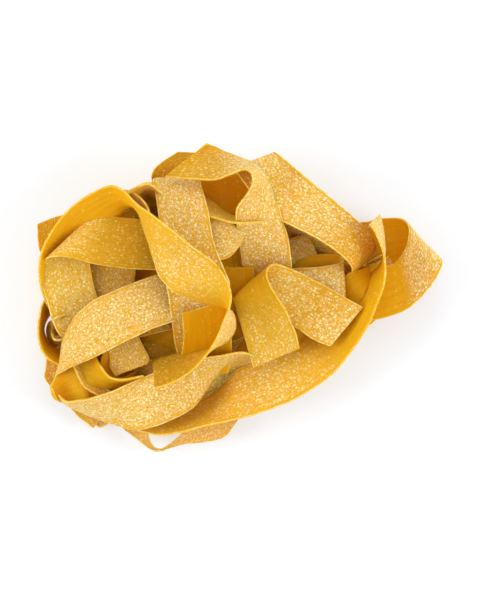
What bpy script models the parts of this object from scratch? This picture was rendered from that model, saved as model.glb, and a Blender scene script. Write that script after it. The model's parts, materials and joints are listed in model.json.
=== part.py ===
"""Dry pasta nest: broad flat ribbons of dried dough, looped and folded into one loose heap.

The heap is one solid. A low rounded core carries every ribbon that shows, each at its true
width and fused to what it touches. Lengths below are in millimetres, seen from above with +X
to the right and +Y away, and the heap stands on z = 0.
"""

import math
import random

import bmesh
import bpy
from mathutils import Vector

MM = 0.001

# Ribbon section
RIBBON_WIDTH = 12.75
RIBBON_THICKNESS = 0.85
SPANS_ACROSS = 1
LONGEST_STEP = 6.0

# Core: a rounded mound with a flat underside
CORE_CENTRE = (-5.0, 0.0)
CORE_HALF_SIZE = (34.0, 23.0)
CORE_TOP = 20.0
CORE_CUT = 5.0
CORE_SQUARENESS = 2.6

# Points nearer than this are one point
WELD_DISTANCE = 0.0015

# Finish
DOUGH_COLOUR = (0.72, 0.40, 0.05, 1.0)
DOUGH_ROUGHNESS = 0.55

# Each station of a route is (left x, left y, right x, right y, middle height, lean). The two
# edges are seen from above. Lean is 1 where the left edge is the higher one, -1 where the
# right edge is, and 0 where the ribbon lies level. The height between the edges follows from
# the ribbon's width.
ROUTES = {
    "crown_loop": [
        (-46.5, -5.0, -38.5, -5.5, 9.5, 1),
        (-49.6, 1.5, -41.0, 2.5, 13.0, 1),
        (-50.3, 7.5, -41.8, 8.5, 15.2, 1),
        (-49.2, 12.5, -41.0, 11.0, 17.0, 1),
        (-46.3, 17.8, -39.3, 12.7, 19.5, 1),
        (-42.0, 22.7, -36.5, 15.2, 22.6, 1),
        (-37.0, 26.2, -33.5, 17.2, 25.4, 1),
        (-32.3, 28.0, -30.6, 20.0, 27.4, 1),
        (-29.4, 27.0, -28.6, 22.4, 28.8, 1),
        (-27.0, 24.7, -26.8, 22.9, 30.0, 1),
        (-25.2, 23.0, -25.6, 21.7, 30.8, 1),
        (-22.7, 21.2, -24.7, 19.7, 31.4, 1),
        (-19.7, 19.0, -23.8, 16.6, 31.7, 1),
        (-16.4, 16.6, -22.8, 13.6, 32.4, 1),
        (-13.0, 13.8, -21.7, 10.0, 33.2, 1),
        (-9.6, 11.3, -20.3, 5.8, 34.2, 1),
        (-6.3, 8.8, -17.2, 2.0, 34.6, 1),
        (-4.0, 5.8, -12.8, 0.2, 33.5, 1),
        (-2.7, 3.0, -8.5, -1.4, 31.7, 1),
        (-2.2, 0.2, -4.9, -2.2, 29.8, 1),
        (-2.8, -2.7, -2.2, -3.2, 28.2, 1),
        (-4.0, -5.8, -1.2, -5.4, 26.6, 1),
        (-5.4, -9.3, -1.4, -8.4, 24.8, 1),
        (-7.2, -12.5, -3.6, -11.2, 22.8, 1),
        (-9.7, -15.8, -7.9, -12.4, 21.2, 1),
        (-12.6, -18.6, -12.0, -13.1, 19.8, 1),
        (-16.4, -21.0, -16.2, -14.0, 18.8, 1),
        (-21.4, -22.6, -22.0, -15.4, 18.0, 1),
    ],
    "left_fold": [
        (-40.5, -14.0, -31.0, -6.0, 14.0, 0),
        (-45.6, -8.5, -33.6, -4.0, 16.2, 0),
        (-48.4, -0.7, -35.6, 0.4, 17.2, 0),
        (-49.4, 3.3, -36.6, 4.2, 17.6, 0),
        (-49.3, 6.6, -37.4, 8.0, 18.0, 0),
        (-49.0, 8.6, -37.6, 12.6, 18.6, 0),
        (-48.5, 9.6, -37.8, 17.0, 19.8, 0),
        (-47.8, 10.0, -37.9, 19.2, 21.4, 0),
        (-46.8, 10.2, -37.0, 19.7, 22.6, 0),
        (-44.5, 10.3, -35.6, 20.2, 23.2, 0),
        (-41.0, 9.8, -33.6, 20.4, 23.6, 0),
        (-36.8, 8.5, -31.0, 20.3, 23.8, 0),
        (-31.5, 7.6, -28.0, 20.0, 23.6, 0),
        (-25.5, 7.1, -23.0, 19.6, 22.8, 0),
        (-18.5, 7.0, -16.5, 19.4, 20.5, 0),
    ],
    "left_sweep": [
        (-14.5, 6.0, -10.0, -5.0, 17.5, 0),
        (-19.5, 6.0, -15.0, -5.6, 20.2, 0),
        (-24.8, 4.6, -19.6, -6.9, 21.2, 0),
        (-31.3, 1.9, -25.0, -9.2, 21.6, 0),
        (-36.6, -0.6, -31.3, -12.2, 21.4, 0),
        (-40.6, -4.0, -35.8, -14.6, 20.4, 0),
        (-43.0, -7.6, -39.6, -16.2, 18.8, 0),
        (-44.2, -10.6, -43.0, -17.8, 16.6, 0),
        (-44.6, -13.0, -45.6, -19.2, 13.4, 0),
        (-44.2, -14.2, -46.2, -20.4, 9.4, 0),
        (-42.6, -13.8, -44.4, -21.0, 6.2, 0),
    ],
    "front_curl": [
        (-24.0, -19.4, -23.0, -20.6, 12.0, 1),
        (-29.0, -20.3, -28.4, -22.4, 13.0, 1),
        (-32.6, -19.6, -32.0, -24.4, 13.2, 1),
        (-35.0, -16.6, -35.0, -26.0, 13.4, 1),
        (-37.0, -13.6, -38.6, -25.8, 13.6, 0),
        (-40.6, -14.4, -41.6, -26.2, 13.0, 0),
        (-44.4, -17.4, -43.8, -26.4, 12.0, 0),
        (-46.6, -20.4, -45.4, -25.8, 12.4, 0),
        (-47.4, -22.2, -46.4, -24.9, 14.6, 0),
        (-46.8, -22.8, -45.2, -25.6, 15.4, 0),
    ],
    "front_band": [
        (-45.4, -24.0, -44.4, -25.8, 9.6, 1),
        (-43.4, -25.9, -42.6, -27.2, 11.4, 1),
        (-40.4, -25.6, -39.4, -28.8, 12.6, 1),
        (-37.0, -24.9, -35.6, -30.2, 13.6, 1),
        (-33.4, -23.7, -31.6, -31.6, 14.4, 1),
        (-29.6, -22.1, -26.6, -33.0, 15.0, 1),
        (-25.0, -20.1, -21.4, -32.2, 15.6, 1),
        (-19.0, -17.6, -15.6, -29.8, 16.2, 1),
        (-13.4, -15.7, -11.6, -27.2, 16.2, 1),
        (-8.4, -14.8, -8.9, -23.6, 15.4, 1),
        (-4.0, -14.2, -6.2, -19.8, 14.2, 1),
        (0.4, -13.5, -2.4, -17.6, 12.4, 1),
        (4.6, -14.6, 2.2, -17.6, 10.0, 1),
    ],
    "outer_sweep": [
        (32.2, 18.4, 34.9, 21.0, 18.6, 1),
        (33.5, 16.8, 35.6, 18.2, 18.2, 1),
        (34.9, 13.8, 36.1, 14.6, 17.6, 1),
        (35.9, 10.8, 36.2, 11.0, 16.9, 1),
        (36.3, 7.2, 34.6, 7.9, 16.0, 1),
        (35.8, 2.8, 31.6, 5.0, 15.0, 1),
        (34.2, -1.9, 28.2, 1.6, 14.2, 1),
        (31.6, -7.8, 24.0, -3.4, 13.4, 1),
        (27.4, -14.1, 19.4, -7.9, 12.6, 1),
        (22.3, -19.9, 14.0, -11.4, 12.0, 1),
        (15.8, -24.3, 9.0, -13.9, 11.6, 1),
        (8.6, -27.6, 3.6, -16.2, 11.4, 1),
        (1.8, -29.8, -1.0, -18.3, 10.8, 1),
        (-4.6, -31.2, -4.4, -22.4, 9.8, 1),
        (-9.8, -32.3, -9.0, -25.2, 9.0, 1),
        (-14.3, -33.6, -13.8, -24.8, 8.2, 1),
        (-20.0, -34.4, -20.2, -24.6, 7.4, 1),
        (-26.0, -33.2, -25.4, -22.0, 6.6, 1),
    ],
    "v_fold": [
        (3.3, -17.5, 15.0, -12.5, 15.8, -1),
        (1.7, -12.0, 14.0, -8.8, 17.6, -1),
        (0.1, -6.5, 12.2, -4.4, 20.0, -1),
        (-0.9, -3.0, 9.9, -0.6, 21.6, -1),
        (-1.5, -0.9, 7.8, 2.9, 23.4, -1),
        (-1.7, -0.2, 6.7, 5.4, 24.0, -1),
        (-1.2, 0.3, 6.9, 7.3, 23.4, -1),
        (0.3, 0.6, 8.2, 8.5, 21.9, -1),
        (2.4, -0.6, 10.8, 8.1, 21.0, -1),
        (5.6, -2.8, 14.5, 6.6, 20.0, 0),
        (9.8, -5.2, 18.6, 4.6, 18.8, 0),
        (14.2, -7.6, 22.8, 2.3, 17.8, 0),
        (18.6, -10.6, 27.0, -0.2, 17.0, 0),
        (22.6, -12.1, 30.8, -2.3, 16.6, 0),
    ],
    "slope_band": [
        (8.7, 36.5, -1.6, 32.2, 22.0, -1),
        (12.5, 33.5, 3.2, 25.6, 24.0, -1),
        (16.6, 30.1, 8.0, 20.6, 24.6, -1),
        (21.4, 26.1, 13.0, 17.9, 24.2, -1),
        (26.4, 21.9, 18.4, 15.2, 22.8, -1),
        (31.0, 17.7, 23.8, 11.8, 20.8, -1),
        (33.6, 14.2, 26.6, 9.2, 18.4, -1),
        (34.0, 12.0, 27.8, 7.6, 15.4, -1),
        (33.2, 10.6, 28.0, 6.4, 11.0, -1),
    ],
    "right_turn": [
        (30.6, 8.0, 29.0, -4.4, 7.4, 0),
        (34.4, 8.8, 34.0, -5.4, 8.2, 0),
        (37.4, 8.2, 38.2, -4.4, 9.2, 0),
        (39.4, 9.4, 41.9, -2.8, 10.2, 0),
        (40.8, 11.2, 45.4, 0.1, 11.4, 0),
        (41.8, 13.8, 48.2, 3.5, 12.4, 0),
        (42.2, 16.4, 50.2, 6.8, 13.0, 0),
        (42.0, 18.4, 50.7, 8.8, 12.0, 0),
        (41.2, 19.5, 49.9, 9.9, 9.6, 0),
        (39.6, 20.1, 47.4, 10.2, 7.0, 0),
        (37.0, 20.2, 43.0, 9.0, 5.0, 0),
        (33.4, 19.6, 37.6, 7.6, 3.8, 0),
        (28.6, 18.2, 31.6, 5.9, 3.2, 0),
    ],
    "top_turn": [
        (3.6, -3.0, 14.0, -2.0, 13.4, 0),
        (1.7, 3.4, 13.2, 4.6, 17.2, 0),
        (0.3, 10.0, 12.7, 10.6, 21.4, 0),
        (-0.5, 15.6, 11.9, 15.8, 25.2, 1),
        (-1.1, 20.4, 10.4, 20.2, 28.2, 1),
        (-0.6, 22.9, 9.5, 23.2, 28.6, 1),
        (1.4, 25.4, 9.1, 26.2, 28.6, 1),
        (2.9, 27.9, 8.0, 29.2, 28.4, 1),
        (3.1, 30.2, 6.2, 31.9, 28.2, 1),
        (2.2, 31.5, 3.8, 33.5, 28.0, 1),
        (0.4, 31.9, 1.2, 34.5, 27.8, 1),
        (-2.6, 30.6, -1.8, 35.8, 27.6, 1),
        (-6.6, 29.4, -4.4, 36.8, 27.6, 1),
        (-12.4, 29.6, -6.4, 37.9, 27.6, 1),
        (-18.9, 30.1, -8.2, 38.6, 27.0, 1),
    ],
    "hollow_floor": [
        (-16.0, 24.0, -16.0, 36.0, 16.0, 0),
        (-10.0, 22.6, -8.6, 34.6, 17.6, 0),
        (-4.0, 19.0, -1.0, 31.2, 18.6, 0),
        (2.0, 16.6, 4.6, 28.6, 17.0, 0),
        (8.0, 15.0, 9.6, 27.2, 14.0, 0),
    ],
    "straight_band": [
        (-21.4, 29.8, -10.2, 31.0, 20.6, 0),
        (-21.8, 29.0, -9.8, 28.8, 25.2, 0),
        (-21.3, 26.6, -9.1, 26.4, 27.8, 0),
        (-20.6, 22.6, -7.9, 22.2, 29.4, 0),
        (-19.9, 17.4, -7.1, 17.0, 30.2, 0),
        (-19.4, 12.0, -5.9, 12.4, 29.8, 0),
        (-18.7, 6.4, -3.8, 7.0, 27.6, 0),
        (-18.1, 1.4, -2.4, 3.0, 24.6, 0),
        (-17.4, -3.6, -4.6, -3.0, 21.8, 0),
        (-16.7, -9.0, -4.2, -9.0, 17.6, 0),
        (-15.8, -14.0, -3.8, -13.4, 12.6, 0),
    ],
    "inner_band": [
        (-14.6, -3.7, -2.9, -0.4, 24.0, 0),
        (-14.3, -7.0, -2.2, -5.0, 21.6, 0),
        (-14.2, -10.4, -2.0, -9.6, 18.6, 0),
        (-14.7, -14.0, -2.2, -14.2, 14.4, 0),
        (-15.4, -17.6, -3.0, -19.0, 9.6, 0),
    ],
    "short_tab": [
        (-13.8, 9.4, -14.6, 21.6, 24.0, 0),
        (-9.4, 9.2, -10.2, 21.0, 27.2, 0),
        (-5.8, 9.4, -6.4, 19.9, 28.4, 0),
        (-2.6, 10.2, -3.0, 18.9, 28.2, 0),
        (0.2, 13.2, 1.3, 16.8, 27.2, 0),
    ],
    "thin_strip": [
        (-12.4, 21.6, -14.4, 27.6, 22.0, 1),
        (-8.0, 20.4, -8.4, 25.3, 23.6, 1),
        (-5.2, 19.6, -5.0, 22.7, 24.8, 1),
        (-2.6, 18.8, -2.4, 20.8, 25.2, 1),
        (1.4, 18.7, 1.6, 20.0, 25.2, 1),
        (5.9, 18.9, 6.2, 19.9, 24.2, 1),
    ],
    "back_tab": [
        (-22.0, 29.0, -11.6, 24.4, 14.0, 0),
        (-22.2, 30.6, -11.2, 29.8, 17.0, 0),
        (-20.8, 33.0, -10.0, 34.0, 18.4, 0),
        (-15.5, 36.6, -8.4, 36.2, 18.6, 0),
    ],
    "twin_strip_outer": [
        (-29.6, 25.2, -26.0, 21.0, 22.0, 1),
        (-26.4, 26.9, -24.4, 24.0, 24.6, 1),
        (-24.4, 28.1, -22.6, 25.4, 25.6, 1),
        (-22.4, 28.3, -19.4, 23.6, 25.4, 1),
        (-19.0, 25.6, -17.8, 19.6, 23.0, 1),
    ],
    "twin_strip_inner": [
        (-28.6, 26.2, -27.0, 23.6, 17.0, 1),
        (-25.6, 27.8, -23.4, 23.6, 19.6, 1),
        (-22.8, 28.8, -20.6, 22.4, 21.0, 1),
        (-18.6, 28.4, -17.6, 18.0, 20.0, 1),
    ],
    "white_sliver": [
        (-29.4, 26.8, -28.6, 22.8, 21.4, 1),
        (-27.2, 26.5, -26.6, 23.6, 22.8, 1),
        (-25.0, 25.1, -25.2, 22.6, 23.8, 1),
        (-23.2, 22.9, -24.0, 20.8, 24.6, 1),
        (-22.2, 20.0, -23.4, 18.0, 24.8, 1),
        (-20.6, 15.4, -22.6, 13.6, 23.6, 1),
    ],
    "corner_tab": [
        (-49.6, 10.4, -38.0, 5.6, 7.6, 0),
        (-50.6, 13.6, -39.0, 16.2, 8.6, 0),
        (-50.9, 18.7, -39.4, 22.6, 9.0, 0),
    ],
    "deep_patch": [
        (-37.8, -3.0, -26.0, -6.6, 15.0, 0),
        (-38.4, 2.6, -26.3, 1.0, 15.6, 0),
        (-38.8, 8.6, -26.1, 7.6, 15.4, 0),
        (-38.0, 16.0, -25.6, 15.0, 13.6, 0),
    ],
    "deep_cross": [
        (-33.0, 24.4, -33.6, 14.4, 15.0, 0),
        (-27.4, 23.6, -27.8, 11.8, 16.0, 0),
        (-21.4, 21.0, -22.6, 9.0, 15.0, 0),
    ],
    "eye_loop": [
        (-44.0, 2.6, -42.4, -1.4, 8.6, 1),
        (-48.9, -0.6, -46.6, -3.2, 9.6, 1),
        (-50.2, -4.8, -48.4, -5.2, 9.8, 1),
        (-50.5, -8.4, -49.2, -8.2, 9.4, 1),
        (-49.6, -12.8, -47.8, -11.2, 8.8, 1),
        (-48.0, -15.2, -45.2, -11.8, 8.4, 1),
        (-44.8, -17.0, -42.0, -12.0, 7.6, 1),
    ],
    "eye_ring": [
        (-43.6, -4.0, -41.6, -7.8, 11.4, 1),
        (-46.4, -5.0, -45.0, -9.0, 11.8, 1),
        (-48.2, -6.6, -46.6, -10.0, 11.6, -1),
        (-48.4, -9.4, -45.4, -10.6, 10.8, -1),
        (-46.6, -12.6, -43.0, -9.8, 9.6, -1),
    ],
    "low_left_band": [
        (-48.4, -13.6, -40.0, -9.0, 7.6, 0),
        (-48.8, -17.6, -37.4, -14.6, 6.6, 0),
        (-49.0, -20.3, -37.2, -18.8, 5.8, 0),
        (-46.6, -23.2, -36.6, -23.0, 4.8, 0),
    ],
    "front_point_left": [
        (-42.6, -27.4, -32.4, -21.4, 4.2, 0),
        (-40.8, -29.7, -30.8, -22.6, 4.0, 0),
        (-36.8, -32.8, -28.6, -23.4, 3.4, 0),
    ],
    "front_point_right": [
        (-36.6, -30.6, -27.0, -22.4, 2.6, 0),
        (-35.5, -32.7, -26.0, -24.2, 2.6, 0),
        (-33.2, -31.5, -24.6, -23.2, 3.0, 0),
        (-28.0, -29.0, -20.0, -19.6, 3.0, 0),
    ],
    "bottom_loop": [
        (-31.0, -27.6, -28.0, -24.6, 6.2, 0),
        (-30.4, -31.6, -27.4, -31.0, 5.8, 0),
        (-25.9, -35.4, -23.4, -33.4, 5.2, 0),
        (-22.6, -37.9, -22.2, -36.6, 5.2, 0),
        (-20.4, -38.4, -19.9, -37.9, 5.4, 0),
        (-17.4, -37.6, -17.2, -36.4, 5.6, 0),
        (-13.4, -36.6, -14.0, -33.4, 6.0, 0),
        (-8.8, -36.2, -9.2, -31.4, 6.2, 0),
        (-4.0, -34.9, -5.0, -28.6, 6.2, 0),
        (-1.6, -32.2, -3.4, -26.2, 6.0, 0),
        (0.8, -28.4, -1.6, -22.4, 5.4, 0),
    ],
    "hollow_curl": [
        (-36.6, -2.6, -25.4, 0.6, 9.4, 0),
        (-34.8, -7.6, -25.4, -4.4, 14.4, 0),
        (-33.6, -11.6, -25.4, -9.2, 15.6, 0),
        (-32.6, -14.6, -23.8, -12.6, 14.8, 0),
        (-32.6, -17.4, -22.6, -15.0, 14.6, 0),
        (-31.0, -19.5, -23.4, -16.6, 15.4, 0),
    ],
    "hollow_curl_side": [
        (-31.8, -9.0, -33.0, -11.6, 15.0, 0),
        (-31.6, -13.0, -34.4, -14.2, 14.4, 0),
        (-32.3, -16.0, -35.0, -16.6, 13.6, 0),
        (-31.9, -18.7, -33.8, -18.9, 13.0, 0),
        (-29.4, -19.8, -30.4, -20.9, 12.4, 0),
        (-25.4, -18.0, -26.4, -19.4, 11.6, 0),
    ],
    "slot_floor": [
        (-27.0, -11.6, -23.0, -21.6, 9.0, 0),
        (-22.0, -10.4, -20.6, -20.4, 9.8, 0),
        (-15.0, -8.4, -14.0, -18.4, 9.4, 0),
    ],
    "slot_back": [
        (-33.0, -3.0, -30.4, -12.0, 10.4, 0),
        (-27.0, -1.0, -25.0, -9.9, 13.6, 0),
        (-21.6, 0.6, -20.2, -8.6, 14.6, 0),
        (-16.4, 1.6, -15.2, -7.4, 13.8, 0),
    ],
    "centre_patch": [
        (-4.2, -3.0, 3.8, -4.0, 16.0, 0),
        (-4.0, 2.4, 3.6, 1.4, 18.6, 0),
        (-4.0, 7.8, 3.4, 7.7, 20.6, 0),
    ],
    "centre_deep": [
        (-7.0, 6.6, 4.0, 3.0, 14.0, 0),
        (-6.6, 13.0, 4.6, 12.4, 16.4, 0),
        (-6.0, 19.0, 5.2, 18.6, 15.0, 0),
    ],
    "pale_tab": [
        (5.0, 12.4, 10.0, 2.4, 11.0, 0),
        (12.2, 14.9, 16.4, 4.8, 12.2, 0),
        (17.3, 16.0, 21.0, 7.0, 12.6, 0),
    ],
    "small_ring": [
        (8.0, 7.6, 8.4, -3.0, 10.6, 0),
        (14.0, 9.6, 14.2, -2.4, 12.4, 0),
        (19.5, 10.9, 19.8, -1.2, 13.2, 0),
        (24.2, 10.9, 24.8, -0.8, 13.6, 0),
        (25.9, 9.9, 26.2, -1.0, 14.6, 0),
        (24.4, 8.6, 25.2, -2.4, 15.6, 0),
        (19.5, 7.9, 20.4, -4.2, 16.0, 0),
        (13.4, 7.5, 14.2, -4.8, 15.8, 0),
        (8.8, 6.8, 9.4, -5.2, 15.0, 0),
    ],
    "small_hook": [
        (20.6, 1.6, 23.2, -6.4, 9.6, 0),
        (24.8, 4.2, 28.0, -3.2, 12.6, 0),
        (27.3, 6.4, 30.6, 0.2, 14.0, 0),
        (29.8, 7.1, 31.8, 2.6, 13.4, 0),
        (32.4, 7.8, 33.0, 4.6, 11.4, 0),
    ],
    "slope_back": [
        (20.0, 24.0, 20.0, 12.0, 11.6, 0),
        (28.0, 19.4, 26.6, 8.6, 13.6, 0),
        (33.5, 19.3, 31.6, 8.0, 13.0, 0),
    ],
}


# A rounded line round the foot of the heap, seen from above, which the flank ribbons follow.
FOOT_LINE = [
    (46.5, 4.0),
    (36.0, 17.0),
    (24.0, 23.5),
    (10.0, 33.0),
    (-6.0, 35.0),
    (-20.0, 30.5),
    (-35.0, 24.5),
    (-46.0, 16.0),
    (-49.0, 4.0),
    (-48.5, -10.0),
    (-46.0, -21.5),
    (-36.0, -30.0),
    (-20.0, -34.5),
    (-4.0, -31.5),
    (12.0, -25.0),
    (26.0, -14.0),
    (38.0, -3.5),
]

# Flank ribbons, which no side of the heap shows whole: where each starts and ends along the
# foot line, how far in it runs, its middle height, its width as seen from above, and its lean,
# 1 where the outer edge is the higher one.
FLANKS = {
    "flank_back_low": (1.2, 4.6, 4.0, 6.6, 5.0, -1),
    "flank_back_left_low": (4.2, 8.2, 3.8, 6.6, 4.6, 1),
    "flank_left_low": (7.5, 11.2, 4.0, 6.4, 5.4, -1),
    "flank_front_low": (10.6, 13.8, 6.6, 3.8, 11.2, -1),
    "flank_front_right_low": (13.2, 16.6, 6.6, 3.8, 11.2, -1),
    "flank_right_low": (16.0, 18.6, 7.2, 2.6, 12.0, -1),
    "flank_back_high": (2.0, 5.4, 6.4, 14.6, 6.4, -1),
    "flank_back_left_high": (5.0, 8.4, 7.6, 11.4, 7.0, 1),
    "flank_left_high": (8.2, 11.4, 8.4, 9.6, 7.2, 1),
    "flank_inner_back": (1.8, 6.2, 12.4, 9.6, 8.0, 1),
    "flank_inner_front": (11.0, 15.6, 13.0, 7.4, 10.4, -1),
    "flank_inner_left": (6.4, 10.4, 13.6, 8.6, 9.0, -1),
}
FLANK_STATIONS = 8
FLANK_WOBBLE = 1.0
FLANK_SEED = 11


def curve_point(points, place, closed=False):
    """The point at a place along the smooth curve through the points."""
    count = len(points)
    first = math.floor(place)
    first = first if closed else min(first, count - 2)
    t = place - first
    if closed:
        near = [Vector(points[(first + step) % count]) for step in (-1, 0, 1, 2)]
    else:
        before = 2 * Vector(points[0]) - Vector(points[1])
        after = 2 * Vector(points[-1]) - Vector(points[-2])
        padded = [before] + [Vector(point) for point in points] + [after]
        near = padded[first:first + 4]
    a, b, c, d = near
    bend = 2 * a - 5 * b + 4 * c - d
    swing = 3 * b - a - 3 * c + d
    return 0.5 * (2 * b + (c - a) * t + bend * t ** 2 + swing * t ** 3)


def edge_points(station):
    """The two edge points of a station as one vector of six numbers."""
    left_x, left_y, right_x, right_y, height, lean = station
    seen_width = math.hypot(left_x - right_x, left_y - right_y)
    rise = lean * math.sqrt(max(0.0, RIBBON_WIDTH ** 2 - seen_width ** 2))
    return (left_x, left_y, height + rise / 2, right_x, right_y, height - rise / 2)


def ribbon_rows(route):
    """Rows of points across the ribbon, one row after another along its length."""
    edges = [edge_points(station) for station in route]
    places = []
    for k in range(len(edges) - 1):
        here = Vector(edges[k])
        stride = (Vector(edges[k + 1]) - here).length / math.sqrt(2)
        steps = math.ceil(stride / LONGEST_STEP)
        places.extend(k + step / steps for step in range(steps))
    places.append(len(edges) - 1)
    rows = []
    for place in places:
        pair = curve_point(edges, place)
        left = Vector(pair[:3])
        right = Vector(pair[3:])
        rows.append([left.lerp(right, k / SPANS_ACROSS) for k in range(SPANS_ACROSS + 1)])
    return rows


def flank_route(start, end, inset, height, seen_width, lean, draw):
    """Stations of a ribbon that runs round the foot of the heap."""
    route = []
    for k in range(FLANK_STATIONS):
        place = start + (end - start) * k / (FLANK_STATIONS - 1)
        here = curve_point(FOOT_LINE, place, closed=True)
        ahead = curve_point(FOOT_LINE, place + 0.05, closed=True)
        along = (ahead - here).normalized()
        outward = Vector((along.y, -along.x))
        middle = here - outward * (inset + draw.uniform(0.0, FLANK_WOBBLE))
        outer = middle + outward * seen_width / 2
        inner = middle - outward * seen_width / 2
        lift = draw.uniform(0.0, FLANK_WOBBLE)
        route.append((outer.x, outer.y, inner.x, inner.y, height + lift, lean))
    return route


def clear_scene():
    """Remove every object, so that the heap is all there is."""
    for old in list(bpy.data.objects):
        bpy.data.objects.remove(old, do_unlink=True)


def dough_material():
    """Dried egg dough: deep yellow and dull."""
    material = bpy.data.materials.new("dried_dough")
    material.use_nodes = True
    shader = material.node_tree.nodes["Principled BSDF"]
    shader.inputs["Base Color"].default_value = DOUGH_COLOUR
    shader.inputs["Roughness"].default_value = DOUGH_ROUGHNESS
    shader.inputs["Metallic"].default_value = 0.0
    return material


def add_object(name, mesh, collection):
    """Link a mesh to a collection as an object of that name."""
    new = bpy.data.objects.new(name, mesh)
    collection.objects.link(new)
    return new


def solid_mesh(name, build):
    """A mesh filled by a function that works on a bmesh."""
    mesh = bpy.data.meshes.new(name)
    work = bmesh.new()
    build(work)
    work.to_mesh(mesh)
    work.free()
    return mesh


def make_ribbon(name, route, collection):
    """A ribbon of one thickness whose edges run through the stations of its route."""
    rows = ribbon_rows(route)

    def build(work):
        bmesh.ops.create_grid(work, x_segments=SPANS_ACROSS, y_segments=len(rows) - 1, size=0.5)
        work.verts.ensure_lookup_table()
        for vert in work.verts:
            across = round((vert.co.x + 0.5) * SPANS_ACROSS)
            along = round((vert.co.y + 0.5) * (len(rows) - 1))
            vert.co = rows[along][across] * MM
        bmesh.ops.triangulate(work, faces=work.faces)
        bmesh.ops.recalc_face_normals(work, faces=work.faces)

    ribbon = add_object(name, solid_mesh(name, build), collection)
    wall = ribbon.modifiers.new("Thickness", 'SOLIDIFY')
    wall.thickness = RIBBON_THICKNESS * MM
    wall.offset = 0.0
    wall.use_even_offset = False
    return ribbon


def make_core(collection):
    """A low mound with a squarish outline and a flat underside."""

    def build(work):
        bmesh.ops.create_icosphere(work, subdivisions=3, radius=1.0)
        for vert in work.verts:
            turn = math.atan2(vert.co.y, vert.co.x)
            round_off = abs(math.cos(turn)) ** CORE_SQUARENESS + abs(math.sin(turn)) ** CORE_SQUARENESS
            stretch = round_off ** (-1.0 / CORE_SQUARENESS)
            vert.co.x = CORE_CENTRE[0] + CORE_HALF_SIZE[0] * stretch * vert.co.x
            vert.co.y = CORE_CENTRE[1] + CORE_HALF_SIZE[1] * stretch * vert.co.y
            vert.co.z = CORE_TOP * vert.co.z
        bmesh.ops.scale(work, vec=(MM, MM, MM), verts=work.verts)
        everything = work.verts[:] + work.edges[:] + work.faces[:]
        cut = bmesh.ops.bisect_plane(
            work, geom=everything, plane_co=(0, 0, CORE_CUT * MM), plane_no=(0, 0, -1), clear_outer=True)
        rim = [item for item in cut["geom_cut"] if isinstance(item, bmesh.types.BMEdge)]
        bmesh.ops.contextual_create(work, geom=rim)
        bmesh.ops.translate(work, vec=(0, 0, -CORE_CUT * MM), verts=work.verts)
        bmesh.ops.recalc_face_normals(work, faces=work.faces)

    return add_object("core", solid_mesh("core", build), collection)


def fuse(target, pieces):
    """Join the pieces of a collection onto the target by one Boolean union, and apply it."""
    union = target.modifiers.new("Fuse", 'BOOLEAN')
    union.operation = 'UNION'
    union.operand_type = 'COLLECTION'
    union.collection = pieces
    union.solver = 'MANIFOLD'
    graph = bpy.context.evaluated_depsgraph_get()
    fused = bpy.data.meshes.new_from_object(target.evaluated_get(graph))
    target.modifiers.clear()
    target.data = fused
    for piece in list(pieces.objects):
        bpy.data.objects.remove(piece, do_unlink=True)
    bpy.data.collections.remove(pieces)


def shells_of(work):
    """Groups of faces that hang together."""
    waiting = set(work.faces)
    shells = []
    while waiting:
        shell = [waiting.pop()]
        for face in shell:
            near = {other for edge in face.edges for other in edge.link_faces}
            fresh = near & waiting
            waiting -= fresh
            shell.extend(fresh)
        shells.append(shell)
    return shells


def shell_volume(shell):
    """Signed volume inside a closed shell of triangles; a sealed hollow counts below zero."""
    total = 0.0
    for face in shell:
        a, b, c = [vert.co for vert in face.verts]
        total += a.dot(b.cross(c)) / 6.0
    return total


def part_shared_diagonals(work):
    """Turn the diagonal of a flat pair of triangles where another pair uses the same one."""
    for edge in [edge for edge in work.edges if len(edge.link_faces) > 2]:
        first = edge.link_faces[0]
        twin = max(edge.link_faces[1:], key=lambda face: face.normal.dot(first.normal))
        ends = set(edge.verts)
        corners = [vert for face in (first, twin) for vert in face.verts if vert not in ends]
        merged = bmesh.ops.dissolve_faces(work, faces=[first, twin])["region"]
        if merged:
            bmesh.utils.face_split(merged[0], corners[0], corners[1])


def keep_one_body(target):
    """Fill the sealed hollows and drop the loose scraps, so that one outer shell is left."""
    work = bmesh.new()
    work.from_mesh(target.data)
    bmesh.ops.remove_doubles(work, verts=work.verts, dist=WELD_DISTANCE * MM)
    bmesh.ops.triangulate(work, faces=work.faces)
    part_shared_diagonals(work)
    shells = sorted(shells_of(work), key=shell_volume)
    spare = [face for shell in shells[:-1] for face in shell]
    bmesh.ops.delete(work, geom=spare, context='FACES')
    work.to_mesh(target.data)
    work.free()


def main():
    """Build the nest."""
    clear_scene()
    nest = bpy.data.collections.new("pasta_nest")
    bpy.context.scene.collection.children.link(nest)
    pieces = bpy.data.collections.new("ribbons")
    bpy.context.scene.collection.children.link(pieces)
    core = make_core(nest)
    core.name = "pasta_nest"
    for name, route in ROUTES.items():
        make_ribbon(name, route, pieces)
    draw = random.Random(FLANK_SEED)
    for name, flank in FLANKS.items():
        make_ribbon(name, flank_route(*flank, draw), pieces)
    fuse(core, pieces)
    keep_one_body(core)
    core.data.materials.clear()
    core.data.materials.append(dough_material())


if __name__ == "__main__":
    main()
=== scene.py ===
"""Dry pasta nest: broad flat ribbons of dried egg dough, looped and folded into one loose heap.

Every ribbon is a thin strip of its own, laid over a low core of crumpled dough. Plan positions
are in millimetres seen from above, with +X to the right and +Y away, and the heap stands on
z = 0.
"""

import json
import math
import random

import bmesh
import bpy
from bpy.props import FloatProperty, FloatVectorProperty, IntProperty, PointerProperty
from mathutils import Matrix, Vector, noise

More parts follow.
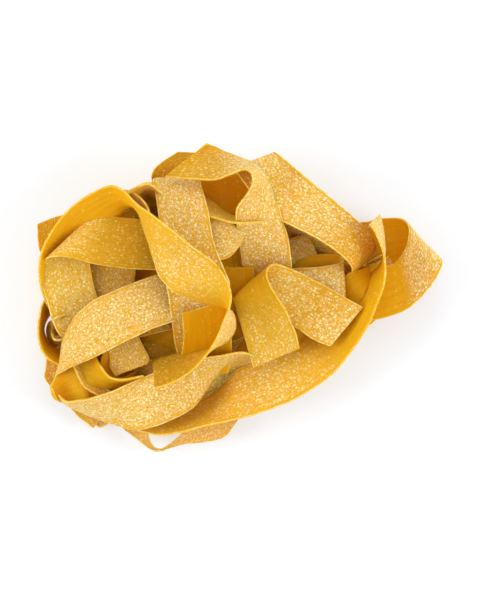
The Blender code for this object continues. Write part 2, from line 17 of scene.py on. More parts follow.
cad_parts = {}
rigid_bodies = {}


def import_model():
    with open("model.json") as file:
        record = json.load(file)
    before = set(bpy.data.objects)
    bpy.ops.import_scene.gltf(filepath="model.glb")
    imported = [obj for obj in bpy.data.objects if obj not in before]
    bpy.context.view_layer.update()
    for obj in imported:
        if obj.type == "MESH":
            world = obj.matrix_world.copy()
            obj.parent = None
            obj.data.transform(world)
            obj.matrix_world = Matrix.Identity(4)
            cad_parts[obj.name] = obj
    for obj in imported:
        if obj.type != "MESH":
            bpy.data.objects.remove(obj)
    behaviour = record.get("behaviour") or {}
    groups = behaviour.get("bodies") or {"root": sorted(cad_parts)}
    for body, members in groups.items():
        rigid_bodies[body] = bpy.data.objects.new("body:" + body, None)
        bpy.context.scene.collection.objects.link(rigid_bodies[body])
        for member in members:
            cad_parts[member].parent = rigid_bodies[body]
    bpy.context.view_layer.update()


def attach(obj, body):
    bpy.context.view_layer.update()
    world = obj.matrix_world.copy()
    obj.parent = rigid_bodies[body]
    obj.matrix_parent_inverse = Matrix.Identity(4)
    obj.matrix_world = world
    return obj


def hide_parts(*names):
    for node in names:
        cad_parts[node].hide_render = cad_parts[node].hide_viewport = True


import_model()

bl_info = {
    "name": "Dry Pasta Nest",
    "version": (1, 0, 0),
    "blender": (4, 5, 0),
    "location": "View3D > Sidebar > Nest",
    "description": "Lays a nest of broad dried pasta ribbons over its core",
    "category": "Object",
}

MM = 0.001
BODY = "root"
NEST_NODE = "pasta_nest"

# Where the rows of points lie across a ribbon, as shares of its width. They crowd at the two
# edges, which keeps those crisp once the mesh is smoothed.
ACROSS = (0.0, 0.025, 0.12, 0.26, 0.42, 0.58, 0.74, 0.88, 0.975, 1.0)

# Looks of a ribbon's face: (bloom, painted shade, specks, painted glow). Bloom is dry powder and specks
# are pale blisters. The painted shade is an olive darkening where shadow falls, and the painted glow is
# the deep gold of dough lit through from behind, strongest on smooth faces.
LOOKS = {
    "smooth": (0.08, 0.00, 0.10, 0.20),
    # Gold is mostly painted light: dough lit through from behind.
    "gold": (0.00, 0.05, 0.06, 0.75),
    "soft": (0.35, 0.00, 0.45, 0.10),
    "speckled": (0.50, 0.05, 0.85, 0.15),
    "dusty": (0.90, 0.05, 0.95, 0.20),
    "white": (1.00, 0.00, 1.00, 0.00),
    # Olive and brown are painted shade: faces darkened where shadow falls.
    "olive": (0.15, 0.75, 0.40, 0.10),
    "brown": (0.40, 0.55, 0.65, 0.60),
}

# Which look each face has, from which station of the route on. The front is the face that is
# up where the left edge is on the left.
# Olive and brown marks paint shade onto a face, and gold marks paint light shining through it.
FRONT_LOOKS = {
    "crown_loop": {0: "gold", 3: "smooth", 8: "gold", 10: "smooth", 13: "soft", 15: "speckled", 17: "soft", 19: "smooth", 23: "smooth", 25: "olive"},
    "left_fold": {0: "speckled", 3: "speckled", 6: "soft", 7: "gold"},
    "left_sweep": {0: "gold"},
    "front_curl": {0: "gold"},
    "front_band": {0: "speckled", 2: "dusty", 4: "white", 8: "dusty", 12: "speckled"},
    "outer_sweep": {3: "gold", 5: "smooth", 8: "smooth", 9: "soft", 11: "speckled", 14: "soft"},
    "v_fold": {0: "speckled", 2: "soft", 4: "smooth"},
    "slope_band": {0: "white", 1: "speckled", 3: "dusty", 5: "brown", 8: "olive"},
    "right_turn": {0: "smooth", 3: "smooth", 4: "white", 7: "white"},
    "top_turn": {0: "speckled", 2: "dusty", 4: "white", 10: "dusty", 12: "brown", 14: "olive"},
    "back_tab": {0: "olive"},
    "twin_strip_outer": {0: "olive", 3: "speckled"},
    "twin_strip_inner": {0: "olive"},
    "white_sliver": {0: "white"},
    "corner_tab": {0: "olive"},
    "deep_patch": {0: "speckled", 3: "brown"},
    "deep_cross": {0: "olive"},
    "hollow_curl_side": {0: "gold"},
    "slot_floor": {0: "olive"},
    "slot_back": {0: "brown"},
    "centre_patch": {0: "gold"},
    "centre_deep": {0: "gold"},
    "pale_tab": {0: "dusty"},
    "small_ring": {0: "gold"},
    "small_hook": {0: "gold"},
    "slope_back": {0: "brown"},
}
BACK_LOOKS = {
    "crown_loop": {0: "soft", 20: "white", 22: "white", 24: "smooth"},
    "left_fold": {7: "speckled", 9: "speckled", 11: "olive", 13: "olive"},
    "left_sweep": {0: "dusty", 5: "dusty", 8: "speckled"},
    "front_curl": {0: "gold", 3: "smooth", 5: "smooth", 6: "gold", 7: "smooth"},
    "outer_sweep": {0: "white"},
    "v_fold": {6: "smooth", 7: "soft", 9: "speckled", 11: "brown", 13: "dusty"},
    "right_turn": {8: "gold"},
    "hollow_floor": {0: "gold"},
    "straight_band": {0: "dusty", 3: "dusty", 5: "speckled", 7: "dusty", 9: "brown"},
    "inner_band": {0: "gold"},
    "short_tab": {0: "dusty"},
    "thin_strip": {0: "soft"},
    "eye_loop": {0: "gold", 2: "smooth"},
    "eye_ring": {0: "speckled"},
    "low_left_band": {0: "brown"},
    "front_point_left": {0: "dusty"},
    "front_point_right": {0: "dusty"},
    "bottom_loop": {0: "speckled", 4: "dusty"},
    "hollow_curl": {0: "brown", 3: "speckled"},
    "small_ring": {5: "dusty"},
}
PLAIN_LOOK = {0: "speckled"}

# Each station of a route is (left x, left y, right x, right y, middle height, lean). The two
# edges are seen from above. Lean is 1 where the left edge is the higher one, -1 where the
# right edge is, and 0 where the ribbon lies level. The height between the edges follows from
# the ribbon's width.
ROUTES = {
    "crown_loop": [
        (-46.5, -5.0, -38.5, -5.5, 9.5, 1),
        (-49.6, 1.5, -41.0, 2.5, 13.0, 1),
        (-50.3, 7.5, -41.8, 8.5, 15.2, 1),
        (-49.2, 12.5, -41.0, 11.0, 17.0, 1),
        (-46.3, 17.8, -39.3, 12.7, 19.5, 1),
        (-42.0, 22.7, -36.5, 15.2, 22.6, 1),
        (-37.0, 26.2, -33.5, 17.2, 25.4, 1),
        (-32.3, 28.0, -30.6, 20.0, 27.4, 1),
        (-29.4, 27.0, -28.6, 22.4, 28.8, 1),
        (-27.0, 24.7, -26.8, 22.9, 30.0, 1),
        (-25.2, 23.0, -25.6, 21.7, 30.8, 1),
        (-22.7, 21.2, -24.7, 19.7, 31.4, 1),
        (-19.7, 19.0, -23.8, 16.6, 31.7, 1),
        (-16.4, 16.6, -22.8, 13.6, 32.4, 1),
        (-13.0, 13.8, -21.7, 10.0, 33.2, 1),
        (-9.6, 11.3, -20.3, 5.8, 34.2, 1),
        (-6.3, 8.8, -17.2, 2.0, 34.6, 1),
        (-4.0, 5.8, -12.8, 0.2, 33.5, 1),
        (-2.7, 3.0, -8.5, -1.4, 31.7, 1),
        (-2.2, 0.2, -4.9, -2.2, 29.8, 1),
        (-2.8, -2.7, -2.2, -3.2, 28.2, 1),
        (-4.0, -5.8, -1.2, -5.4, 26.6, 1),
        (-5.4, -9.3, -1.4, -8.4, 24.8, 1),
        (-7.2, -12.5, -3.6, -11.2, 22.8, 1),
        (-9.7, -15.8, -7.9, -12.4, 21.2, 1),
        (-12.6, -18.6, -12.0, -13.1, 19.8, 1),
        (-16.4, -21.0, -16.2, -14.0, 18.8, 1),
        (-21.4, -22.6, -22.0, -15.4, 18.0, 1),
    ],
    "left_fold": [
        (-40.5, -14.0, -31.0, -6.0, 14.0, 0),
        (-45.6, -8.5, -33.6, -4.0, 16.2, 0),
        (-48.4, -0.7, -35.6, 0.4, 17.2, 0),
        (-49.4, 3.3, -36.6, 4.2, 17.6, 0),
        (-49.3, 6.6, -37.4, 8.0, 18.0, 0),
        (-49.0, 8.6, -37.6, 12.6, 18.6, 0),
        (-48.5, 9.6, -37.8, 17.0, 19.8, 0),
        (-47.8, 10.0, -37.9, 19.2, 21.4, 0),
        (-46.8, 10.2, -37.0, 19.7, 22.6, 0),
        (-44.5, 10.3, -35.6, 20.2, 23.2, 0),
        (-41.0, 9.8, -33.6, 20.4, 23.6, 0),
        (-36.8, 8.5, -31.0, 20.3, 23.8, 0),
        (-31.5, 7.6, -28.0, 20.0, 23.6, 0),
        (-25.5, 7.1, -23.0, 19.6, 22.8, 0),
        (-18.5, 7.0, -16.5, 19.4, 20.5, 0),
    ],
    "left_sweep": [
        (-14.5, 6.0, -10.0, -5.0, 17.5, 0),
        (-19.5, 6.0, -15.0, -5.6, 20.2, 0),
        (-24.8, 4.6, -19.6, -6.9, 21.2, 0),
        (-31.3, 1.9, -25.0, -9.2, 21.6, 0),
        (-36.6, -0.6, -31.3, -12.2, 21.4, 0),
        (-40.6, -4.0, -35.8, -14.6, 20.4, 0),
        (-43.0, -7.6, -39.6, -16.2, 18.8, 0),
        (-44.2, -10.6, -43.0, -17.8, 16.6, 0),
        (-44.6, -13.0, -45.6, -19.2, 13.4, 0),
        (-44.2, -14.2, -46.2, -20.4, 9.4, 0),
        (-42.6, -13.8, -44.4, -21.0, 6.2, 0),
    ],
    "front_curl": [
        (-24.0, -19.4, -23.0, -20.6, 12.0, 1),
        (-29.0, -20.3, -28.4, -22.4, 13.0, 1),
        (-32.6, -19.6, -32.0, -24.4, 13.2, 1),
        (-35.0, -16.6, -35.0, -26.0, 13.4, 1),
        (-37.0, -13.6, -38.6, -25.8, 13.6, 0),
        (-40.6, -14.4, -41.6, -26.2, 13.0, 0),
        (-44.4, -17.4, -43.8, -26.4, 12.0, 0),
        (-46.6, -20.4, -45.4, -25.8, 12.4, 0),
        (-47.4, -22.2, -46.4, -24.9, 14.6, 0),
        (-46.8, -22.8, -45.2, -25.6, 15.4, 0),
    ],
    "front_band": [
        (-45.4, -24.0, -44.4, -25.8, 9.6, 1),
        (-43.4, -25.9, -42.6, -27.2, 11.4, 1),
        (-40.4, -25.6, -39.4, -28.8, 12.6, 1),
        (-37.0, -24.9, -35.6, -30.2, 13.6, 1),
        (-33.4, -23.7, -31.6, -31.6, 14.4, 1),
        (-29.6, -22.1, -26.6, -33.0, 15.0, 1),
        (-25.0, -20.1, -21.4, -32.2, 15.6, 1),
        (-19.0, -17.6, -15.6, -29.8, 16.2, 1),
        (-13.4, -15.7, -11.6, -27.2, 16.2, 1),
        (-8.4, -14.8, -8.9, -23.6, 15.4, 1),
        (-4.0, -14.2, -6.2, -19.8, 14.2, 1),
        (0.4, -13.5, -2.4, -17.6, 12.4, 1),
        (4.6, -14.6, 2.2, -17.6, 10.0, 1),
    ],
    "outer_sweep": [
        (32.2, 18.4, 34.9, 21.0, 18.6, 1),
        (33.5, 16.8, 35.6, 18.2, 18.2, 1),
        (34.9, 13.8, 36.1, 14.6, 17.6, 1),
        (35.9, 10.8, 36.2, 11.0, 16.9, 1),
        (36.3, 7.2, 34.6, 7.9, 16.0, 1),
        (35.8, 2.8, 31.6, 5.0, 15.0, 1),
        (34.2, -1.9, 28.2, 1.6, 14.2, 1),
        (31.6, -7.8, 24.0, -3.4, 13.4, 1),
        (27.4, -14.1, 19.4, -7.9, 12.6, 1),
        (22.3, -19.9, 14.0, -11.4, 12.0, 1),
        (15.8, -24.3, 9.0, -13.9, 11.6, 1),
        (8.6, -27.6, 3.6, -16.2, 11.4, 1),
        (1.8, -29.8, -1.0, -18.3, 10.8, 1),
        (-4.6, -31.2, -4.4, -22.4, 9.8, 1),
        (-9.8, -32.3, -9.0, -25.2, 9.0, 1),
        (-14.3, -33.6, -13.8, -24.8, 8.2, 1),
        (-20.0, -34.4, -20.2, -24.6, 7.4, 1),
        (-26.0, -33.2, -25.4, -22.0, 6.6, 1),
    ],
    "v_fold": [
        (3.3, -17.5, 15.0, -12.5, 15.8, -1),
        (1.7, -12.0, 14.0, -8.8, 17.6, -1),
        (0.1, -6.5, 12.2, -4.4, 20.0, -1),
        (-0.9, -3.0, 9.9, -0.6, 21.6, -1),
        (-1.5, -0.9, 7.8, 2.9, 23.4, -1),
        (-1.7, -0.2, 6.7, 5.4, 24.0, -1),
        (-1.2, 0.3, 6.9, 7.3, 23.4, -1),
        (0.3, 0.6, 8.2, 8.5, 21.9, -1),
        (2.4, -0.6, 10.8, 8.1, 21.0, -1),
        (5.6, -2.8, 14.5, 6.6, 20.0, 0),
        (9.8, -5.2, 18.6, 4.6, 18.8, 0),
        (14.2, -7.6, 22.8, 2.3, 17.8, 0),
        (18.6, -10.6, 27.0, -0.2, 17.0, 0),
        (22.6, -12.1, 30.8, -2.3, 16.6, 0),
    ],
    "slope_band": [
        (8.7, 36.5, -1.6, 32.2, 22.0, -1),
        (12.5, 33.5, 3.2, 25.6, 24.0, -1),
        (16.6, 30.1, 8.0, 20.6, 24.6, -1),
        (21.4, 26.1, 13.0, 17.9, 24.2, -1),
        (26.4, 21.9, 18.4, 15.2, 22.8, -1),
        (31.0, 17.7, 23.8, 11.8, 20.8, -1),
        (33.6, 14.2, 26.6, 9.2, 18.4, -1),
        (34.0, 12.0, 27.8, 7.6, 15.4, -1),
        (33.2, 10.6, 28.0, 6.4, 11.0, -1),
    ],
    "right_turn": [
        (30.6, 8.0, 29.0, -4.4, 7.4, 0),
        (34.4, 8.8, 34.0, -5.4, 8.2, 0),
        (37.4, 8.2, 38.2, -4.4, 9.2, 0),
        (39.4, 9.4, 41.9, -2.8, 10.2, 0),
        (40.8, 11.2, 45.4, 0.1, 11.4, 0),
        (41.8, 13.8, 48.2, 3.5, 12.4, 0),
        (42.2, 16.4, 50.2, 6.8, 13.0, 0),
        (42.0, 18.4, 50.7, 8.8, 12.0, 0),
        (41.2, 19.5, 49.9, 9.9, 9.6, 0),
        (39.6, 20.1, 47.4, 10.2, 7.0, 0),
        (37.0, 20.2, 43.0, 9.0, 5.0, 0),
        (33.4, 19.6, 37.6, 7.6, 3.8, 0),
        (28.6, 18.2, 31.6, 5.9, 3.2, 0),
    ],
    "top_turn": [
        (3.6, -3.0, 14.0, -2.0, 13.4, 0),
        (1.7, 3.4, 13.2, 4.6, 17.2, 0),
        (0.3, 10.0, 12.7, 10.6, 21.4, 0),
        (-0.5, 15.6, 11.9, 15.8, 25.2, 1),
        (-1.1, 20.4, 10.4, 20.2, 28.2, 1),
        (-0.6, 22.9, 9.5, 23.2, 28.6, 1),
        (1.4, 25.4, 9.1, 26.2, 28.6, 1),
        (2.9, 27.9, 8.0, 29.2, 28.4, 1),
        (3.1, 30.2, 6.2, 31.9, 28.2, 1),
        (2.2, 31.5, 3.8, 33.5, 28.0, 1),
        (0.4, 31.9, 1.2, 34.5, 27.8, 1),
        (-2.6, 30.6, -1.8, 35.8, 27.6, 1),
        (-6.6, 29.4, -4.4, 36.8, 27.6, 1),
        (-12.4, 29.6, -6.4, 37.9, 27.6, 1),
        (-18.9, 30.1, -8.2, 38.6, 27.0, 1),
    ],
    "hollow_floor": [
        (-16.0, 24.0, -16.0, 36.0, 16.0, 0),
        (-10.0, 22.6, -8.6, 34.6, 17.6, 0),
        (-4.0, 19.0, -1.0, 31.2, 18.6, 0),
        (2.0, 16.6, 4.6, 28.6, 17.0, 0),
        (8.0, 15.0, 9.6, 27.2, 14.0, 0),
    ],
    "straight_band": [
        (-21.4, 29.8, -10.2, 31.0, 20.6, 0),
        (-21.8, 29.0, -9.8, 28.8, 25.2, 0),
        (-21.3, 26.6, -9.1, 26.4, 27.8, 0),
        (-20.6, 22.6, -7.9, 22.2, 29.4, 0),
        (-19.9, 17.4, -7.1, 17.0, 30.2, 0),
        (-19.4, 12.0, -5.9, 12.4, 29.8, 0),
        (-18.7, 6.4, -3.8, 7.0, 27.6, 0),
        (-18.1, 1.4, -2.4, 3.0, 24.6, 0),
        (-17.4, -3.6, -4.6, -3.0, 21.8, 0),
        (-16.7, -9.0, -4.2, -9.0, 17.6, 0),
        (-15.8, -14.0, -3.8, -13.4, 12.6, 0),
    ],
    "inner_band": [
        (-14.6, -3.7, -2.9, -0.4, 24.0, 0),
        (-14.3, -7.0, -2.2, -5.0, 21.6, 0),
        (-14.2, -10.4, -2.0, -9.6, 18.6, 0),
        (-14.7, -14.0, -2.2, -14.2, 14.4, 0),
        (-15.4, -17.6, -3.0, -19.0, 9.6, 0),
    ],
    "short_tab": [
        (-13.8, 9.4, -14.6, 21.6, 24.0, 0),
        (-9.4, 9.2, -10.2, 21.0, 27.2, 0),
        (-5.8, 9.4, -6.4, 19.9, 28.4, 0),
        (-2.6, 10.2, -3.0, 18.9, 28.2, 0),
        (0.2, 13.2, 1.3, 16.8, 27.2, 0),
    ],
    "thin_strip": [
        (-12.4, 21.6, -14.4, 27.6, 22.0, 1),
        (-8.0, 20.4, -8.4, 25.3, 23.6, 1),
        (-5.2, 19.6, -5.0, 22.7, 24.8, 1),
        (-2.6, 18.8, -2.4, 20.8, 25.2, 1),
        (1.4, 18.7, 1.6, 20.0, 25.2, 1),
        (5.9, 18.9, 6.2, 19.9, 24.2, 1),
    ],
    "back_tab": [
        (-22.0, 29.0, -11.6, 24.4, 14.0, 0),
        (-22.2, 30.6, -11.2, 29.8, 17.0, 0),
        (-20.8, 33.0, -10.0, 34.0, 18.4, 0),
        (-15.5, 36.6, -8.4, 36.2, 18.6, 0),
    ],
    "twin_strip_outer": [
        (-29.6, 25.2, -26.0, 21.0, 22.0, 1),
        (-26.4, 26.9, -24.4, 24.0, 24.6, 1),
        (-24.4, 28.1, -22.6, 25.4, 25.6, 1),
        (-22.4, 28.3, -19.4, 23.6, 25.4, 1),
        (-19.0, 25.6, -17.8, 19.6, 23.0, 1),
    ],
    "twin_strip_inner": [
        (-28.6, 26.2, -27.0, 23.6, 17.0, 1),
        (-25.6, 27.8, -23.4, 23.6, 19.6, 1),
        (-22.8, 28.8, -20.6, 22.4, 21.0, 1),
        (-18.6, 28.4, -17.6, 18.0, 20.0, 1),
    ],
    "white_sliver": [
        (-29.4, 26.8, -28.6, 22.8, 21.4, 1),
        (-27.2, 26.5, -26.6, 23.6, 22.8, 1),
        (-25.0, 25.1, -25.2, 22.6, 23.8, 1),
        (-23.2, 22.9, -24.0, 20.8, 24.6, 1),
        (-22.2, 20.0, -23.4, 18.0, 24.8, 1),
        (-20.6, 15.4, -22.6, 13.6, 23.6, 1),
    ],
    "corner_tab": [
        (-49.6, 10.4, -38.0, 5.6, 7.6, 0),
        (-50.6, 13.6, -39.0, 16.2, 8.6, 0),
        (-50.9, 18.7, -39.4, 22.6, 9.0, 0),
    ],
    "deep_patch": [
        (-37.8, -3.0, -26.0, -6.6, 15.0, 0),
        (-38.4, 2.6, -26.3, 1.0, 15.6, 0),
        (-38.8, 8.6, -26.1, 7.6, 15.4, 0),
        (-38.0, 16.0, -25.6, 15.0, 13.6, 0),
    ],
    "deep_cross": [
        (-33.0, 24.4, -33.6, 14.4, 15.0, 0),
        (-27.4, 23.6, -27.8, 11.8, 16.0, 0),
        (-21.4, 21.0, -22.6, 9.0, 15.0, 0),
    ],
    "eye_loop": [
        (-44.0, 2.6, -42.4, -1.4, 8.6, 1),
        (-48.9, -0.6, -46.6, -3.2, 9.6, 1),
        (-50.2, -4.8, -48.4, -5.2, 9.8, 1),
        (-50.5, -8.4, -49.2, -8.2, 9.4, 1),
        (-49.6, -12.8, -47.8, -11.2, 8.8, 1),
        (-48.0, -15.2, -45.2, -11.8, 8.4, 1),
        (-44.8, -17.0, -42.0, -12.0, 7.6, 1),
    ],
    "eye_ring": [
        (-43.6, -4.0, -41.6, -7.8, 11.4, 1),
        (-46.4, -5.0, -45.0, -9.0, 11.8, 1),
        (-48.2, -6.6, -46.6, -10.0, 11.6, -1),
        (-48.4, -9.4, -45.4, -10.6, 10.8, -1),
        (-46.6, -12.6, -43.0, -9.8, 9.6, -1),
    ],
    "low_left_band": [
        (-48.4, -13.6, -40.0, -9.0, 7.6, 0),
        (-48.8, -17.6, -37.4, -14.6, 6.6, 0),
        (-49.0, -20.3, -37.2, -18.8, 5.8, 0),
        (-46.6, -23.2, -36.6, -23.0, 4.8, 0),
    ],
    "front_point_left": [
        (-42.6, -27.4, -32.4, -21.4, 4.2, 0),
        (-40.8, -29.7, -30.8, -22.6, 4.0, 0),
        (-36.8, -32.8, -28.6, -23.4, 3.4, 0),
    ],
    "front_point_right": [
        (-36.6, -30.6, -27.0, -22.4, 2.6, 0),
        (-35.5, -32.7, -26.0, -24.2, 2.6, 0),
        (-33.2, -31.5, -24.6, -23.2, 3.0, 0),
        (-28.0, -29.0, -20.0, -19.6, 3.0, 0),
    ],
    "bottom_loop": [
        (-31.0, -27.6, -28.0, -24.6, 6.2, 0),
        (-30.4, -31.6, -27.4, -31.0, 5.8, 0),
        (-25.9, -35.4, -23.4, -33.4, 5.2, 0),
        (-22.6, -37.9, -22.2, -36.6, 5.2, 0),
        (-20.4, -38.4, -19.9, -37.9, 5.4, 0),
        (-17.4, -37.6, -17.2, -36.4, 5.6, 0),
        (-13.4, -36.6, -14.0, -33.4, 6.0, 0),
        (-8.8, -36.2, -9.2, -31.4, 6.2, 0),
        (-4.0, -34.9, -5.0, -28.6, 6.2, 0),
        (-1.6, -32.2, -3.4, -26.2, 6.0, 0),
        (0.8, -28.4, -1.6, -22.4, 5.4, 0),
    ],
    "hollow_curl": [
        (-36.6, -2.6, -25.4, 0.6, 9.4, 0),
        (-34.8, -7.6, -25.4, -4.4, 14.4, 0),
        (-33.6, -11.6, -25.4, -9.2, 15.6, 0),
        (-32.6, -14.6, -23.8, -12.6, 14.8, 0),
        (-32.6, -17.4, -22.6, -15.0, 14.6, 0),
        (-31.0, -19.5, -23.4, -16.6, 15.4, 0),
    ],
    "hollow_curl_side": [
        (-31.8, -9.0, -33.0, -11.6, 15.0, 0),
        (-31.6, -13.0, -34.4, -14.2, 14.4, 0),
        (-32.3, -16.0, -35.0, -16.6, 13.6, 0),
        (-31.9, -18.7, -33.8, -18.9, 13.0, 0),
        (-29.4, -19.8, -30.4, -20.9, 12.4, 0),
        (-25.4, -18.0, -26.4, -19.4, 11.6, 0),
    ],
    "slot_floor": [
        (-27.0, -11.6, -23.0, -21.6, 9.0, 0),
        (-22.0, -10.4, -20.6, -20.4, 9.8, 0),
        (-15.0, -8.4, -14.0, -18.4, 9.4, 0),
    ],
    "slot_back": [
        (-33.0, -3.0, -30.4, -12.0, 10.4, 0),
        (-27.0, -1.0, -25.0, -9.9, 13.6, 0),
        (-21.6, 0.6, -20.2, -8.6, 14.6, 0),
        (-16.4, 1.6, -15.2, -7.4, 13.8, 0),
    ],
    "centre_patch": [
        (-4.2, -3.0, 3.8, -4.0, 16.0, 0),
        (-4.0, 2.4, 3.6, 1.4, 18.6, 0),
        (-4.0, 7.8, 3.4, 7.7, 20.6, 0),
    ],
    "centre_deep": [
        (-7.0, 6.6, 4.0, 3.0, 14.0, 0),
        (-6.6, 13.0, 4.6, 12.4, 16.4, 0),
        (-6.0, 19.0, 5.2, 18.6, 15.0, 0),
    ],
    "pale_tab": [
        (5.0, 12.4, 10.0, 2.4, 11.0, 0),
        (12.2, 14.9, 16.4, 4.8, 12.2, 0),
        (17.3, 16.0, 21.0, 7.0, 12.6, 0),
    ],
    "small_ring": [
        (8.0, 7.6, 8.4, -3.0, 10.6, 0),
        (14.0, 9.6, 14.2, -2.4, 12.4, 0),
        (19.5, 10.9, 19.8, -1.2, 13.2, 0),
        (24.2, 10.9, 24.8, -0.8, 13.6, 0),
        (25.9, 9.9, 26.2, -1.0, 14.6, 0),
        (24.4, 8.6, 25.2, -2.4, 15.6, 0),
        (19.5, 7.9, 20.4, -4.2, 16.0, 0),
        (13.4, 7.5, 14.2, -4.8, 15.8, 0),
        (8.8, 6.8, 9.4, -5.2, 15.0, 0),
    ],
    "small_hook": [
        (20.6, 1.6, 23.2, -6.4, 9.6, 0),
        (24.8, 4.2, 28.0, -3.2, 12.6, 0),
        (27.3, 6.4, 30.6, 0.2, 14.0, 0),
        (29.8, 7.1, 31.8, 2.6, 13.4, 0),
        (32.4, 7.8, 33.0, 4.6, 11.4, 0),
    ],
    "slope_back": [
        (20.0, 24.0, 20.0, 12.0, 11.6, 0),
        (28.0, 19.4, 26.6, 8.6, 13.6, 0),
        (33.5, 19.3, 31.6, 8.0, 13.0, 0),
    ],
}

# Which ribbons make up each piece.
CROWN = ("crown_loop", "straight_band", "inner_band", "short_tab")
LEFT = ("left_fold", "left_sweep", "front_curl", "corner_tab", "eye_loop", "eye_ring", "low_left_band")
FRONT = ("front_band", "outer_sweep", "v_fold", "bottom_loop", "front_point_left", "front_point_right")
BACK = (
    "slope_band", "top_turn", "hollow_floor", "thin_strip", "back_tab",
    "twin_strip_outer", "twin_strip_inner", "white_sliver",
)
RIGHT = ("right_turn", "small_ring", "small_hook", "slope_back", "pale_tab")
INNER = (
    "deep_patch", "deep_cross", "hollow_curl", "hollow_curl_side",
    "slot_floor", "slot_back", "centre_patch", "centre_deep",
)

# A rounded line round the foot of the heap, seen from above, which the flank ribbons follow.
FOOT_LINE = [
    (46.5, 4.0),
    (36.0, 17.0),
    (24.0, 23.5),
    (10.0, 33.0),
    (-6.0, 35.0),
    (-20.0, 30.5),
    (-35.0, 24.5),
    (-46.0, 16.0),
    (-49.0, 4.0),
    (-48.5, -10.0),
    (-46.0, -21.5),
    (-36.0, -30.0),
    (-20.0, -34.5),
    (-4.0, -31.5),
    (12.0, -25.0),
    (26.0, -14.0),
    (38.0, -3.5),
]

# Flank ribbons: where each starts and ends along the foot line, how far in it runs, its middle
# height, its width as seen from above, and its lean, 1 where the outer edge is the higher one.
FLANKS = {
    "flank_back_low": (1.2, 4.6, 4.0, 6.6, 5.0, -1),
    "flank_back_left_low": (4.2, 8.2, 3.8, 6.6, 4.6, 1),
    "flank_left_low": (7.5, 11.2, 4.0, 6.4, 5.4, -1),
    "flank_front_low": (10.6, 13.8, 6.6, 3.8, 11.2, -1),
    "flank_front_right_low": (13.2, 16.6, 6.6, 3.8, 11.2, -1),
    "flank_right_low": (16.0, 18.6, 7.2, 2.6, 12.0, -1),
    "flank_back_high": (2.0, 5.4, 6.4, 11.4, 6.4, -1),
    "flank_back_left_high": (5.0, 8.4, 7.6, 11.4, 7.0, 1),
    "flank_left_high": (8.2, 11.4, 8.4, 9.6, 7.2, 1),
    "flank_inner_back": (1.8, 6.2, 12.4, 9.6, 8.0, 1),
    "flank_inner_front": (11.0, 15.6, 13.0, 7.4, 10.4, -1),
    "flank_inner_left": (6.4, 10.4, 13.6, 8.6, 9.0, -1),
}
FLANK_STATIONS = 8
FLANK_WOBBLE = 1.0
FLANK_SEED = 11

# Coils on the underside: half length, half width, middle height, first and last turn in degrees.
FOOT_COILS = {
    "foot_coil_outer": (29.0, 17.5, 1.1, 20.0, 372.0),
    "foot_coil_inner": (16.5, 6.4, 2.0, 200.0, 540.0),
}
COIL_CENTRE = (-5.0, 0.0)
COIL_STEP = 24.0


class RibbonSettings(bpy.types.PropertyGroup):
    """Section and liveliness of the ribbons."""

    width: FloatProperty(
        name="Width", description="Width of a ribbon", default=12.75 * MM, min=MM, unit='LENGTH')
    thickness: FloatProperty(
        name="Thickness", description="Thickness of a ribbon", default=0.55 * MM, min=0.1 * MM, unit='LENGTH')
    step: FloatProperty(
        name="Step", description="Longest step between two rows along a ribbon", default=0.7 * MM,
        min=0.2 * MM, unit='LENGTH')
    bow: FloatProperty(
        name="Bow", description="How far the middle of a ribbon stands off its edges", default=0.3 * MM,
        unit='LENGTH')
    wander: FloatProperty(
        name="Wander", description="How far the cut edges stray from a straight cut", default=0.14 * MM,
        unit='LENGTH')
    swell: FloatProperty(
        name="Swell", description="Depth of the slow waves that drying leaves", default=0.16 * MM,
        unit='LENGTH')
    grain: FloatProperty(
        name="Grain", description="Depth of the small dimples", default=0.05 * MM, unit='LENGTH')


class CoreSettings(bpy.types.PropertyGroup):
    """The mound that carries the ribbons."""

    length: FloatProperty(
        name="Half Length", description="Half the core's length", default=32.0 * MM, unit='LENGTH')
    width: FloatProperty(
        name="Half Width", description="Half the core's width", default=21.0 * MM, unit='LENGTH')
    top: FloatProperty(
        name="Top", description="Height of the core's top", default=13.0 * MM, unit='LENGTH')
    crumple: FloatProperty(
        name="Crumple", description="Depth of the folds on the core", default=1.4 * MM, unit='LENGTH')


class DoughSettings(bpy.types.PropertyGroup):
    """Colours of the dried dough, and of the painted shade and painted light on it."""

    gold: FloatVectorProperty(
        name="Gold", description="Smooth egg dough", subtype='COLOR',
        default=(0.76, 0.435, 0.002), min=0.0, max=1.0)
    amber: FloatVectorProperty(
        name="Amber", description="Dough lit through from behind", subtype='COLOR',
        default=(0.80, 0.37, 0.002), min=0.0, max=1.0)
    # Painted shade: the olive is dull dough where shadow falls.
    olive: FloatVectorProperty(
        name="Olive", description="Dull shade of the dough", subtype='COLOR',
        default=(0.56, 0.275, 0.002), min=0.0, max=1.0)
    # Painted shade: the ochre darkens the small pits of a rough face.
    ochre: FloatVectorProperty(
        name="Ochre", description="Pits of a rough face", subtype='COLOR',
        default=(0.58, 0.265, 0.004), min=0.0, max=1.0)
    bloom: FloatVectorProperty(
        name="Bloom", description="Dry powder between the blisters", subtype='COLOR',
        default=(0.84, 0.50, 0.16), min=0.0, max=1.0)
    pale: FloatVectorProperty(
        name="Pale", description="Blisters and cut edges", subtype='COLOR',
        default=(0.98, 0.84, 0.44), min=0.0, max=1.0)
    fleck: FloatVectorProperty(
        name="Fleck", description="Blisters of a smooth face", subtype='COLOR',
        default=(0.86, 0.60, 0.10), min=0.0, max=1.0)
    roughness: FloatProperty(
        name="Roughness", description="Roughness of a smooth face", default=0.55, min=0.0, max=1.0)


